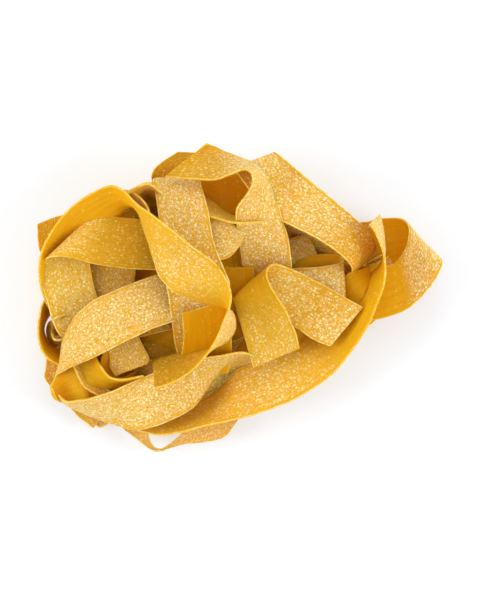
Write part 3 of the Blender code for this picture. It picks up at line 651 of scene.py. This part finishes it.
class StageSettings(bpy.types.PropertyGroup):
    """Camera, floor and light."""

    distance: FloatProperty(
        name="Camera Height", description="Height of the camera over the floor", default=3.0, unit='LENGTH')
    field: FloatProperty(
        name="Field Height", description="Height of the picture at the middle of the heap",
        default=152.25 * MM, unit='LENGTH')
    aim: FloatProperty(
        name="Aim", description="Place of the picture's centre along Y", default=-1.6 * MM, unit='LENGTH')
    side_power: FloatProperty(
        name="Side Lights", description="Power of each of the two side lights", default=6.0, unit='POWER')
    back_power: FloatProperty(
        name="Back Light", description="Power of the light beyond the heap", default=1.6, unit='POWER')
    sky: FloatProperty(name="Sky", description="Strength of the even light all round", default=0.82, min=0.0)
    floor: FloatVectorProperty(
        name="Floor", description="Colour of the floor", subtype='COLOR', default=(0.60, 0.625, 0.66), min=0.0, max=1.0)


SETTINGS = {
    "nest_ribbon": RibbonSettings,
    "nest_core": CoreSettings,
    "nest_dough": DoughSettings,
    "nest_stage": StageSettings,
}


def curve_point(points, place, closed=False):
    """The point at a place along the smooth curve through the points."""
    count = len(points)
    first = math.floor(place)
    first = first if closed else min(first, count - 2)
    t = place - first
    if closed:
        near = [Vector(points[(first + step) % count]) for step in (-1, 0, 1, 2)]
    else:
        before = 2 * Vector(points[0]) - Vector(points[1])
        after = 2 * Vector(points[-1]) - Vector(points[-2])
        padded = [before] + [Vector(point) for point in points] + [after]
        near = padded[first:first + 4]
    a, b, c, d = near
    bend = 2 * a - 5 * b + 4 * c - d
    swing = 3 * b - a - 3 * c + d
    return 0.5 * (2 * b + (c - a) * t + bend * t ** 2 + swing * t ** 3)


def edge_points(station, width):
    """The two edge points of a station, in metres, as one vector of six numbers."""
    left_x, left_y, right_x, right_y, height, lean = station
    seen_width = math.hypot(left_x - right_x, left_y - right_y) * MM
    rise = lean * math.sqrt(max(0.0, width ** 2 - seen_width ** 2))
    left = (left_x * MM, left_y * MM, height * MM + rise / 2)
    right = (right_x * MM, right_y * MM, height * MM - rise / 2)
    return left + right


def ribbon_places(edges, step):
    """Places along a route, close enough together that no row is further on than a step."""
    places = []
    for k in range(len(edges) - 1):
        stride = (Vector(edges[k + 1]) - Vector(edges[k])).length / math.sqrt(2)
        count = max(1, math.ceil(stride / step))
        places.extend(k + number / count for number in range(count))
    places.append(len(edges) - 1)
    return places


def look_at(looks, place):
    """The look at a place along a route, blended between the two marks that it lies between."""
    marks = sorted(looks)
    before = max([mark for mark in marks if mark <= place], default=marks[0])
    after = min([mark for mark in marks if mark > place], default=marks[-1])
    share = (place - before) / (after - before) if after > before else 0.0
    return Vector(LOOKS[looks[before]]).lerp(Vector(LOOKS[looks[after]]), min(max(share, 0.0), 1.0))


def lay_ribbon(work, name, route, ribbon, number):
    """One ribbon as an open strip, with its run along and across as UV and its looks as colours."""
    run = work.loops.layers.uv["run"]
    front = work.verts.layers.float_color["front_look"]
    back = work.verts.layers.float_color["back_look"]
    edges = [edge_points(station, ribbon.width) for station in route]
    places = ribbon_places(edges, ribbon.step)
    pairs = [curve_point(edges, place) for place in places]
    lefts = [Vector(pair[:3]) for pair in pairs]
    rights = [Vector(pair[3:]) for pair in pairs]
    middles = [(left + right) / 2 for left, right in zip(lefts, rights)]
    last = len(places) - 1
    grid = bmesh.ops.create_grid(work, x_segments=len(ACROSS) - 1, y_segments=last, size=0.5)
    spots = {}
    for vert in grid["verts"]:
        across = round((vert.co.x + 0.5) * (len(ACROSS) - 1))
        along = round((vert.co.y + 0.5) * last)
        spots[vert] = (across, along)
    travelled = [number * 23.7 * ribbon.width]
    for here, there in zip(middles, middles[1:]):
        travelled.append(travelled[-1] + (there - here).length)
    for vert, (across, along) in spots.items():
        share = ACROSS[across]
        left = lefts[along]
        right = rights[along]
        chord = (right - left).normalized()
        ahead = (middles[min(along + 1, last)] - middles[max(along - 1, 0)]).normalized()
        upward = chord.cross(ahead).normalized()
        spot = left.lerp(right, share)
        slow = Vector((travelled[along] * 90.0, share * 1.3, number * 7.1))
        bow = ribbon.bow * noise.noise(slow * 0.45) * 2.2
        spot += upward * bow * (1.0 - (2.0 * share - 1.0) ** 2)
        spot += upward * ribbon.swell * noise.noise(spot * 190.0 + Vector((number, 0, 0)))
        spot += upward * ribbon.grain * noise.noise(spot * 700.0)
        stray = noise.noise(Vector((travelled[along] * 260.0, share * 9.0, number * 3.3)))
        stray += 0.5 * noise.noise(Vector((travelled[along] * 900.0, share * 9.0, number * 1.7)))
        spot += chord * ribbon.wander * stray * abs(2.0 * share - 1.0) ** 3
        if along in (0, last):
            spot += ahead * ribbon.wander * 2.0 * noise.noise(Vector((share * 11.0, along, number * 5.9)))
        vert.co = spot
        vert[front] = look_at(FRONT_LOOKS.get(name, PLAIN_LOOK), places[along])
        vert[back] = look_at(BACK_LOOKS.get(name, PLAIN_LOOK), places[along])
    for face in {face for vert in spots for face in vert.link_faces}:
        face.smooth = True
        for loop in face.loops:
            across, along = spots[loop.vert]
            loop[run].uv = (travelled[along] / ribbon.width, ACROSS[across])


def add_piece(name, work, materials):
    """A finished mesh as a piece of the nest."""
    mesh = bpy.data.meshes.new(name)
    work.to_mesh(mesh)
    work.free()
    for material in materials:
        mesh.materials.append(material)
    piece = bpy.data.objects.new(name, mesh)
    bpy.context.scene.collection.objects.link(piece)
    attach(piece, BODY)
    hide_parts(NEST_NODE)
    return piece


def lay_ribbons(context, name, routes):
    """A piece made of several ribbons, each with its own thickness and softly rounded edges."""
    ribbon = context.scene.nest_ribbon
    work = bmesh.new()
    work.loops.layers.uv.new("run")
    work.verts.layers.float_color.new("front_look")
    work.verts.layers.float_color.new("back_look")
    for route_name, route in routes.items():
        number = 1 + len(bpy.data.objects) * 10 + list(routes).index(route_name)
        lay_ribbon(work, route_name, route, ribbon, number)
    faces = (ribbon_material("front_look"), ribbon_material("back_look"), rim_material())
    piece = add_piece(name, work, faces)
    wall = piece.modifiers.new("Thickness", 'SOLIDIFY')
    wall.thickness = ribbon.thickness
    wall.offset = 0.0
    wall.material_offset = 1
    wall.material_offset_rim = 2
    soften = piece.modifiers.new("Soften", 'SUBSURF')
    soften.levels = 1
    soften.render_levels = 1
    return piece


def flank_route(start, end, inset, height, seen_width, lean, draw):
    """Stations of a ribbon that runs round the foot of the heap."""
    route = []
    for k in range(FLANK_STATIONS):
        place = start + (end - start) * k / (FLANK_STATIONS - 1)
        here = curve_point(FOOT_LINE, place, closed=True)
        ahead = curve_point(FOOT_LINE, place + 0.05, closed=True)
        along = (ahead - here).normalized()
        outward = Vector((along.y, -along.x))
        middle = here - outward * (inset + draw.uniform(0.0, FLANK_WOBBLE))
        outer = middle + outward * seen_width / 2
        inner = middle - outward * seen_width / 2
        lift = draw.uniform(0.0, FLANK_WOBBLE)
        route.append((outer.x, outer.y, inner.x, inner.y, height + lift, lean))
    return route


def coil_route(half_length, half_width, height, first, last, width):
    """Stations of a level ribbon coiled on an oval."""
    route = []
    for k in range(round((last - first) / COIL_STEP) + 1):
        turn = math.radians(first + k * COIL_STEP)
        outward = Vector((math.cos(turn) / half_length, math.sin(turn) / half_width)).normalized()
        middle = Vector(COIL_CENTRE) + Vector((half_length * math.cos(turn), half_width * math.sin(turn)))
        inner = middle - outward * width / 2
        outer = middle + outward * width / 2
        route.append((inner.x, inner.y, outer.x, outer.y, height, 0))
    return route


def add_node(tree, kind, settings=None, inputs=None):
    """A new node with its settings and inputs, where an input that is a socket gets linked."""
    new = tree.nodes.new(kind)
    for name, value in (settings or {}).items():
        setattr(new, name, value)
    for name, value in (inputs or {}).items():
        if isinstance(value, bpy.types.NodeSocket):
            tree.links.new(value, new.inputs[name])
        else:
            new.inputs[name].default_value = value
    return new


def maths(tree, operation, a, b=0.0):
    """A sum, product or the like of two values."""
    return add_node(tree, "ShaderNodeMath", {"operation": operation}, {0: a, 1: b}).outputs[0]


def fade(tree, value, start, end, low=0.0, high=1.0):
    """A value turned smoothly from low at start to high at end."""
    inputs = {"Value": value, "From Min": start, "From Max": end, "To Min": low, "To Max": high}
    return add_node(tree, "ShaderNodeMapRange", {"interpolation_type": 'SMOOTHSTEP'}, inputs).outputs[0]


def blend(tree, share, a, b):
    """Colour a turned into colour b by a share."""
    mix = add_node(tree, "ShaderNodeMix", {"data_type": 'RGBA'}, {0: share, 6: a, 7: b})
    return mix.outputs[2]


def noise_value(tree, vector, scale, detail=2.0):
    """Cloudy noise from 0 to 1 over a vector."""
    inputs = {"Vector": vector, "Scale": scale, "Detail": detail}
    return add_node(tree, "ShaderNodeTexNoise", {}, inputs).outputs[0]


def stretch(tree, vector, scale):
    """A vector scaled by axis."""
    return add_node(tree, "ShaderNodeMapping", {}, {"Vector": vector, "Scale": scale}).outputs[0]


def new_group(name, inputs, outputs):
    """An empty node group with its sockets, and its input and output nodes."""
    group = bpy.data.node_groups.new(name, 'ShaderNodeTree')
    for title, kind in inputs.items():
        group.interface.new_socket(title, in_out='INPUT', socket_type=kind)
    for title, kind in outputs.items():
        group.interface.new_socket(title, in_out='OUTPUT', socket_type=kind)
    return group, group.nodes.new("NodeGroupInput").outputs, group.nodes.new("NodeGroupOutput")


def blister_group():
    """Pale round blisters of uneven size, each cell of the pattern holding one or none."""
    if "blisters" in bpy.data.node_groups:
        return bpy.data.node_groups["blisters"]
    sockets = {"Vector": 'NodeSocketVector', "Scale": 'NodeSocketFloat', "Share": 'NodeSocketFloat'}
    group, given, out = new_group("blisters", sockets, {"Mask": 'NodeSocketFloat'})
    cells = add_node(
        group, "ShaderNodeTexVoronoi", {"voronoi_dimensions": '2D'},
        {"Vector": given["Vector"], "Scale": given["Scale"], "Randomness": 0.95})
    draws = add_node(group, "ShaderNodeSeparateColor", {}, {"Color": cells.outputs["Color"]})
    radius = fade(group, draws.outputs[0], 0.0, 1.0, 0.24, 0.46)
    core = maths(group, 'MULTIPLY', radius, 0.62)
    spot = add_node(
        group, "ShaderNodeMapRange", {"interpolation_type": 'SMOOTHSTEP'},
        {"Value": cells.outputs["Distance"], "From Min": radius, "From Max": core, "To Min": 0.0, "To Max": 1.0})
    there = maths(group, 'LESS_THAN', draws.outputs[1], given["Share"])
    strength = fade(group, draws.outputs[2], 0.0, 1.0, 0.45, 1.0)
    mask = maths(group, 'MULTIPLY', maths(group, 'MULTIPLY', spot.outputs[0], there), strength)
    group.links.new(mask, out.inputs["Mask"])
    return group


def skin_group(dough):
    """Skin of a ribbon: colour, roughness and relief from its run, its bloom, painted shade, specks and painted glow.
    """
    if "dough_skin" in bpy.data.node_groups:
        return bpy.data.node_groups["dough_skin"]
    inputs = {
        "Run": 'NodeSocketVector', "Bloom": 'NodeSocketFloat', "Painted Shade": 'NodeSocketFloat',
        "Specks": 'NodeSocketFloat', "Painted Glow": 'NodeSocketFloat',
    }
    outputs = {"Color": 'NodeSocketColor', "Roughness": 'NodeSocketFloat', "Height": 'NodeSocketFloat'}
    group, given, out = new_group("dough_skin", inputs, outputs)
    run = given["Run"]
    cut = add_node(group, "ShaderNodeSeparateXYZ", {}, {"Vector": run})
    margin = maths(group, 'MINIMUM', cut.outputs[1], maths(group, 'SUBTRACT', 1.0, cut.outputs[1]))

    clouds = noise_value(group, run, 1.3, 3.0)
    mottle = noise_value(group, stretch(group, run, (0.8, 1.0, 1.0)), 9.0, 4.0)
    drag = noise_value(group, stretch(group, run, (1.2, 14.0, 1.0)), 1.0, 2.0)
    grit = noise_value(group, run, 30.0, 2.0)

    bare = fade(group, maths(group, 'ADD', margin, maths(group, 'MULTIPLY', clouds, -0.10)), -0.035, 0.06)
    plenty = maths(group, 'MULTIPLY', given["Specks"], fade(group, clouds, 0.30, 0.62, 0.62, 1.0))
    share = maths(group, 'MULTIPLY', plenty, bare)
    places = stretch(group, run, (0.82, 1.0, 1.0))
    large = add_node(
        group, "ShaderNodeGroup", {"node_tree": blister_group()}, {"Vector": places, "Scale": 16.5, "Share": share})
    small = add_node(
        group, "ShaderNodeGroup", {"node_tree": blister_group()}, {"Vector": places, "Scale": 27.0, "Share": share})
    specks = maths(group, 'MAXIMUM', large.outputs[0], maths(group, 'MULTIPLY', small.outputs[0], 0.75))

    powder = maths(group, 'MULTIPLY', fade(group, mottle, 0.40, 0.60, 0.25, 1.0), fade(group, grit, 0.38, 0.62, 0.45, 1.0))
    powder = maths(group, 'MULTIPLY', given["Bloom"], powder)
    powder = maths(group, 'MULTIPLY', powder, maths(group, 'ADD', 0.25, maths(group, 'MULTIPLY', bare, 0.75)))
    # Painted shade in the small pits of powdered faces.
    pit_shade = maths(group, 'MULTIPLY', given["Bloom"], fade(group, grit, 0.52, 0.36))
    # Painted light: gold turns amber where light shining through the dough is painted in.
    colour = blend(group, given["Painted Glow"], (*dough.gold, 1.0), (*dough.amber, 1.0))
    # Painted shade: the colour turns dull olive where shadow falls.
    colour = blend(group, given["Painted Shade"], colour, (*dough.olive, 1.0))
    colour = blend(group, maths(group, 'MULTIPLY', pit_shade, 0.8), colour, (*dough.ochre, 1.0))
    colour = blend(group, powder, colour, (*dough.bloom, 1.0))
    whiteness = fade(group, given["Bloom"], 0.05, 0.70)
    speck_colour = blend(group, whiteness, (*dough.fleck, 1.0), (*dough.pale, 1.0))
    colour = blend(group, specks, colour, speck_colour)
    # Pale cut edges along both sides of a ribbon, partly a painted highlight where an edge catches the light.
    rim = maths(group, 'MULTIPLY', fade(group, margin, 0.030, 0.012), fade(group, mottle, 0.35, 0.60, 0.15, 0.85))
    colour = blend(group, rim, colour, speck_colour)
    shade = fade(group, drag, 0.25, 0.75, 0.93, 1.04)
    tone = add_node(group, "ShaderNodeVectorMath", {"operation": 'SCALE'}, {0: colour, "Scale": shade})
    group.links.new(tone.outputs[0], out.inputs["Color"])

    gloss = maths(group, 'ADD', dough.roughness, maths(group, 'MULTIPLY', powder, 0.25))
    group.links.new(maths(group, 'ADD', gloss, maths(group, 'MULTIPLY', specks, 0.12)), out.inputs["Roughness"])

    relief = maths(group, 'ADD', specks, maths(group, 'MULTIPLY', maths(group, 'MULTIPLY', grit, given["Bloom"]), 0.5))
    relief = maths(group, 'ADD', relief, maths(group, 'MULTIPLY', mottle, 0.35))
    group.links.new(maths(group, 'ADD', relief, maths(group, 'MULTIPLY', drag, 0.12)), out.inputs["Height"])
    return group


def dough_shader(name):
    """A new material with the dough's plain values, its node tree and its shader."""
    material = bpy.data.materials.new(name)
    material.use_nodes = True
    tree = material.node_tree
    shader = tree.nodes["Principled BSDF"]
    shader.inputs["Specular IOR Level"].default_value = 0.10
    shader.inputs["Subsurface Weight"].default_value = 0.5
    shader.inputs["Subsurface Radius"].default_value = (1.0, 0.45, 0.08)
    shader.inputs["Subsurface Scale"].default_value = 1.2 * MM
    return material, tree, shader


def add_relief(tree, shader, height, depth):
    """Bump from a height on the shader."""
    bump = add_node(tree, "ShaderNodeBump", {}, {"Height": height, "Strength": 0.8, "Distance": depth})
    tree.links.new(bump.outputs[0], shader.inputs["Normal"])


def ribbon_material(look):
    """The face of a ribbon, whose look comes from the colour attribute of that name."""
    name = "dough_" + look
    if name in bpy.data.materials:
        return bpy.data.materials[name]
    material, tree, shader = dough_shader(name)
    run = add_node(tree, "ShaderNodeUVMap", {"uv_map": "run"}).outputs[0]
    painted = add_node(tree, "ShaderNodeAttribute", {"attribute_name": look})
    parts = add_node(tree, "ShaderNodeSeparateColor", {}, {"Color": painted.outputs["Color"]}).outputs
    # The green channel carries the painted shade and the alpha the painted glow.
    inputs = {"Run": run, "Bloom": parts[0], "Painted Shade": parts[1], "Specks": parts[2], "Painted Glow": painted.outputs["Alpha"]}
    group = skin_group(bpy.context.scene.nest_dough)
    skin = add_node(tree, "ShaderNodeGroup", {"node_tree": group}, inputs)
    tree.links.new(skin.outputs["Color"], shader.inputs["Base Color"])
    tree.links.new(skin.outputs["Roughness"], shader.inputs["Roughness"])
    add_relief(tree, shader, skin.outputs["Height"], 0.12 * MM)
    return material


def rim_material():
    """The cut edge of a ribbon: paler, dry and a little torn."""
    if "dough_rim" in bpy.data.materials:
        return bpy.data.materials["dough_rim"]
    dough = bpy.context.scene.nest_dough
    material, tree, shader = dough_shader("dough_rim")
    place = add_node(tree, "ShaderNodeTexCoord").outputs["Object"]
    torn = noise_value(tree, place, 1400.0, 3.0)
    colour = blend(tree, fade(tree, torn, 0.42, 0.68, 0.02, 0.45), (*dough.gold, 1.0), (*dough.pale, 1.0))
    tree.links.new(colour, shader.inputs["Base Color"])
    shader.inputs["Roughness"].default_value = 0.6
    add_relief(tree, shader, torn, 0.08 * MM)
    return material


def core_material():
    """Dough deep inside the heap: darker gold with faint powder, in patches of painted shade and of painted light
    shining through the dough.
    """
    dough = bpy.context.scene.nest_dough
    material, tree, shader = dough_shader("dough_core")
    place = add_node(tree, "ShaderNodeTexCoord").outputs["Object"]
    patches = noise_value(tree, place, 260.0, 4.0)
    colour = blend(tree, fade(tree, patches, 0.35, 0.65), (*dough.olive, 1.0), (*dough.amber, 1.0))
    tree.links.new(colour, shader.inputs["Base Color"])
    shader.inputs["Roughness"].default_value = 0.55
    add_relief(tree, shader, patches, 0.3 * MM)
    return material


class NEST_OT_core(bpy.types.Operator):
    """Add the low crumpled mound that the ribbons lie on"""

    bl_idname = "nest.core"
    bl_label = "Core"

    squareness = 2.6
    base = 1.6 * MM

    def execute(self, context):
        core = context.scene.nest_core
        work = bmesh.new()
        bmesh.ops.create_icosphere(work, subdivisions=5, radius=1.0)
        for vert in work.verts:
            turn = math.atan2(vert.co.y, vert.co.x)
            corner = abs(math.cos(turn)) ** self.squareness + abs(math.sin(turn)) ** self.squareness
            reach = corner ** (-1.0 / self.squareness)
            vert.co.x = COIL_CENTRE[0] * MM + core.length * reach * vert.co.x
            vert.co.y = COIL_CENTRE[1] * MM + core.width * reach * vert.co.y
            vert.co.z = core.top * vert.co.z
        bmesh.ops.recalc_face_normals(work, faces=work.faces)
        work.normal_update()
        for vert in work.verts:
            vert.co += vert.normal * core.crumple * noise.noise(vert.co * 120.0)
        everything = work.verts[:] + work.edges[:] + work.faces[:]
        cut = bmesh.ops.bisect_plane(
            work, geom=everything, plane_co=(0, 0, self.base), plane_no=(0, 0, -1), clear_outer=True)
        rim = [item for item in cut["geom_cut"] if isinstance(item, bmesh.types.BMEdge)]
        bmesh.ops.contextual_create(work, geom=rim)
        for face in work.faces:
            face.smooth = len(face.verts) < 5
        add_piece("core", work, (core_material(),))
        return {'FINISHED'}


def routes_named(names):
    """The routes of these ribbons."""
    return {name: ROUTES[name] for name in names}


class NEST_OT_crown_ribbons(bpy.types.Operator):
    """Lay the big loop over the left half and the bands that run under it"""

    bl_idname = "nest.crown_ribbons"
    bl_label = "Crown Ribbons"

    def execute(self, context):
        lay_ribbons(context, "crown_ribbons", routes_named(CROWN))
        return {'FINISHED'}


class NEST_OT_left_ribbons(bpy.types.Operator):
    """Lay the folded ribbons and the small loops of the left side"""

    bl_idname = "nest.left_ribbons"
    bl_label = "Left Ribbons"

    def execute(self, context):
        lay_ribbons(context, "left_ribbons", routes_named(LEFT))
        return {'FINISHED'}


class NEST_OT_front_ribbons(bpy.types.Operator):
    """Lay the long outer sweep, the front band, the V-shaped fold and the loop under them"""

    bl_idname = "nest.front_ribbons"
    bl_label = "Front Ribbons"

    def execute(self, context):
        lay_ribbons(context, "front_ribbons", routes_named(FRONT))
        return {'FINISHED'}


class NEST_OT_back_ribbons(bpy.types.Operator):
    """Lay the top turn with its hollow, the sloping band and the strips behind them"""

    bl_idname = "nest.back_ribbons"
    bl_label = "Back Ribbons"

    def execute(self, context):
        lay_ribbons(context, "back_ribbons", routes_named(BACK))
        return {'FINISHED'}


class NEST_OT_right_ribbons(bpy.types.Operator):
    """Lay the turned-back end at the right and the small ring beside it"""

    bl_idname = "nest.right_ribbons"
    bl_label = "Right Ribbons"

    def execute(self, context):
        lay_ribbons(context, "right_ribbons", routes_named(RIGHT))
        return {'FINISHED'}


class NEST_OT_inner_ribbons(bpy.types.Operator):
    """Lay the ribbons that show deep between the others"""

    bl_idname = "nest.inner_ribbons"
    bl_label = "Inner Ribbons"

    def execute(self, context):
        lay_ribbons(context, "inner_ribbons", routes_named(INNER))
        return {'FINISHED'}


class NEST_OT_flank_ribbons(bpy.types.Operator):
    """Wind ribbons round the foot of the heap"""

    bl_idname = "nest.flank_ribbons"
    bl_label = "Flank Ribbons"

    seed: IntProperty(name="Seed", description="Seed of the flank's unevenness", default=FLANK_SEED)

    def execute(self, context):
        draw = random.Random(self.seed)
        routes = {name: flank_route(*flank, draw) for name, flank in FLANKS.items()}
        lay_ribbons(context, "flank_ribbons", routes)
        return {'FINISHED'}


class NEST_OT_foot_ribbons(bpy.types.Operator):
    """Coil ribbons on the underside, where the heap rests"""

    bl_idname = "nest.foot_ribbons"
    bl_label = "Foot Ribbons"

    def execute(self, context):
        width = context.scene.nest_ribbon.width / MM
        routes = {name: coil_route(*coil, width) for name, coil in FOOT_COILS.items()}
        lay_ribbons(context, "foot_ribbons", routes)
        return {'FINISHED'}


class NEST_OT_stage(bpy.types.Operator):
    """Set the floor, the light and the camera straight above the heap"""

    bl_idname = "nest.stage"
    bl_label = "Stage"

    middle_height = 15.0 * MM
    sensor = 36.0
    floor_half = 2.0
    floor_drop = 0.05 * MM
    floor_glow = 0.34
    left_place = (-1.05, -0.10, 0.70)
    right_place = (1.05, -0.10, 0.70)
    back_place = (0.0, 0.90, 0.90)
    light_size = 0.60

    def execute(self, context):
        stage = context.scene.nest_stage
        context.scene.view_settings.view_transform = 'Standard'
        self.add_floor(stage)
        self.add_sky(context.scene, stage.sky)
        self.add_light(context.scene, "left_light", self.left_place, stage.side_power)
        self.add_light(context.scene, "right_light", self.right_place, stage.side_power)
        self.add_light(context.scene, "back_light", self.back_place, stage.back_power)
        self.add_camera(context.scene, stage)
        return {'FINISHED'}

    def add_floor(self, stage):
        """A wide plain pale floor just under the heap."""
        work = bmesh.new()
        bmesh.ops.create_grid(work, x_segments=1, y_segments=1, size=self.floor_half)
        bmesh.ops.translate(work, vec=(0, 0, -self.floor_drop), verts=work.verts)
        mesh = bpy.data.meshes.new("floor")
        work.to_mesh(mesh)
        work.free()
        material = bpy.data.materials.new("floor")
        material.use_nodes = True
        shader = material.node_tree.nodes["Principled BSDF"]
        shader.inputs["Base Color"].default_value = (*stage.floor, 1.0)
        shader.inputs["Roughness"].default_value = 0.9
        shader.inputs["Specular IOR Level"].default_value = 0.1
        shader.inputs["Emission Color"].default_value = (1.0, 1.0, 1.0, 1.0)
        shader.inputs["Emission Strength"].default_value = self.floor_glow
        mesh.materials.append(material)
        floor = bpy.data.objects.new("floor", mesh)
        bpy.context.scene.collection.objects.link(floor)

    def add_light(self, scene, name, place, power):
        """A wide soft disk light that faces the heap."""
        light = bpy.data.lights.new(name, 'AREA')
        light.shape = 'DISK'
        light.size = self.light_size
        light.energy = power
        lamp = bpy.data.objects.new(name, light)
        lamp.location = place
        lamp.rotation_euler = (-Vector(place)).to_track_quat('-Z', 'Y').to_euler()
        scene.collection.objects.link(lamp)

    def add_sky(self, scene, strength):
        """An even pale light from all round."""
        world = bpy.data.worlds.new("studio")
        world.use_nodes = True
        sky = world.node_tree.nodes["Background"]
        sky.inputs["Color"].default_value = (1.0, 1.0, 1.0, 1.0)
        sky.inputs["Strength"].default_value = strength
        scene.world = world

    def add_camera(self, scene, stage):
        """A long lens looking straight down, with +Y up in the picture."""
        camera_data = bpy.data.cameras.new("camera")
        camera_data.sensor_fit = 'VERTICAL'
        camera_data.sensor_height = self.sensor
        camera_data.lens = self.sensor * (stage.distance - self.middle_height) / stage.field
        camera = bpy.data.objects.new("camera", camera_data)
        camera.location = (0.0, stage.aim, stage.distance)
        scene.collection.objects.link(camera)
        scene.camera = camera


STEPS = (
    NEST_OT_stage,
    NEST_OT_core,
    NEST_OT_foot_ribbons,
    NEST_OT_flank_ribbons,
    NEST_OT_inner_ribbons,
    NEST_OT_right_ribbons,
    NEST_OT_back_ribbons,
    NEST_OT_front_ribbons,
    NEST_OT_left_ribbons,
    NEST_OT_crown_ribbons,
)


class NEST_PT_panel(bpy.types.Panel):
    """The nest's steps and settings"""

    bl_idname = "NEST_PT_panel"
    bl_label = "Dry Pasta Nest"
    bl_space_type = 'VIEW_3D'
    bl_region_type = 'UI'
    bl_category = "Nest"

    def draw(self, context):
        for step in STEPS:
            self.layout.operator(step.bl_idname)
        for name, kind in SETTINGS.items():
            box = self.layout.box()
            for key in kind.__annotations__:
                box.prop(getattr(context.scene, name), key)


CLASSES = (*SETTINGS.values(), *STEPS, NEST_PT_panel)


def register():
    """Register the classes and put the settings on the scene."""
    for cls in CLASSES:
        bpy.utils.register_class(cls)
    for name, kind in SETTINGS.items():
        setattr(bpy.types.Scene, name, PointerProperty(type=kind))


def unregister():
    """Take the settings off the scene and unregister the classes."""
    for name in SETTINGS:
        delattr(bpy.types.Scene, name)
    for cls in reversed(CLASSES):
        bpy.utils.unregister_class(cls)


def main():
    """Dress the nest."""
    register()
    bpy.ops.nest.stage()
    bpy.ops.nest.core()
    bpy.ops.nest.foot_ribbons()
    bpy.ops.nest.flank_ribbons()
    bpy.ops.nest.inner_ribbons()
    bpy.ops.nest.right_ribbons()
    bpy.ops.nest.back_ribbons()
    bpy.ops.nest.front_ribbons()
    bpy.ops.nest.left_ribbons()
    bpy.ops.nest.crown_ribbons()


if __name__ == "__main__":
    main()
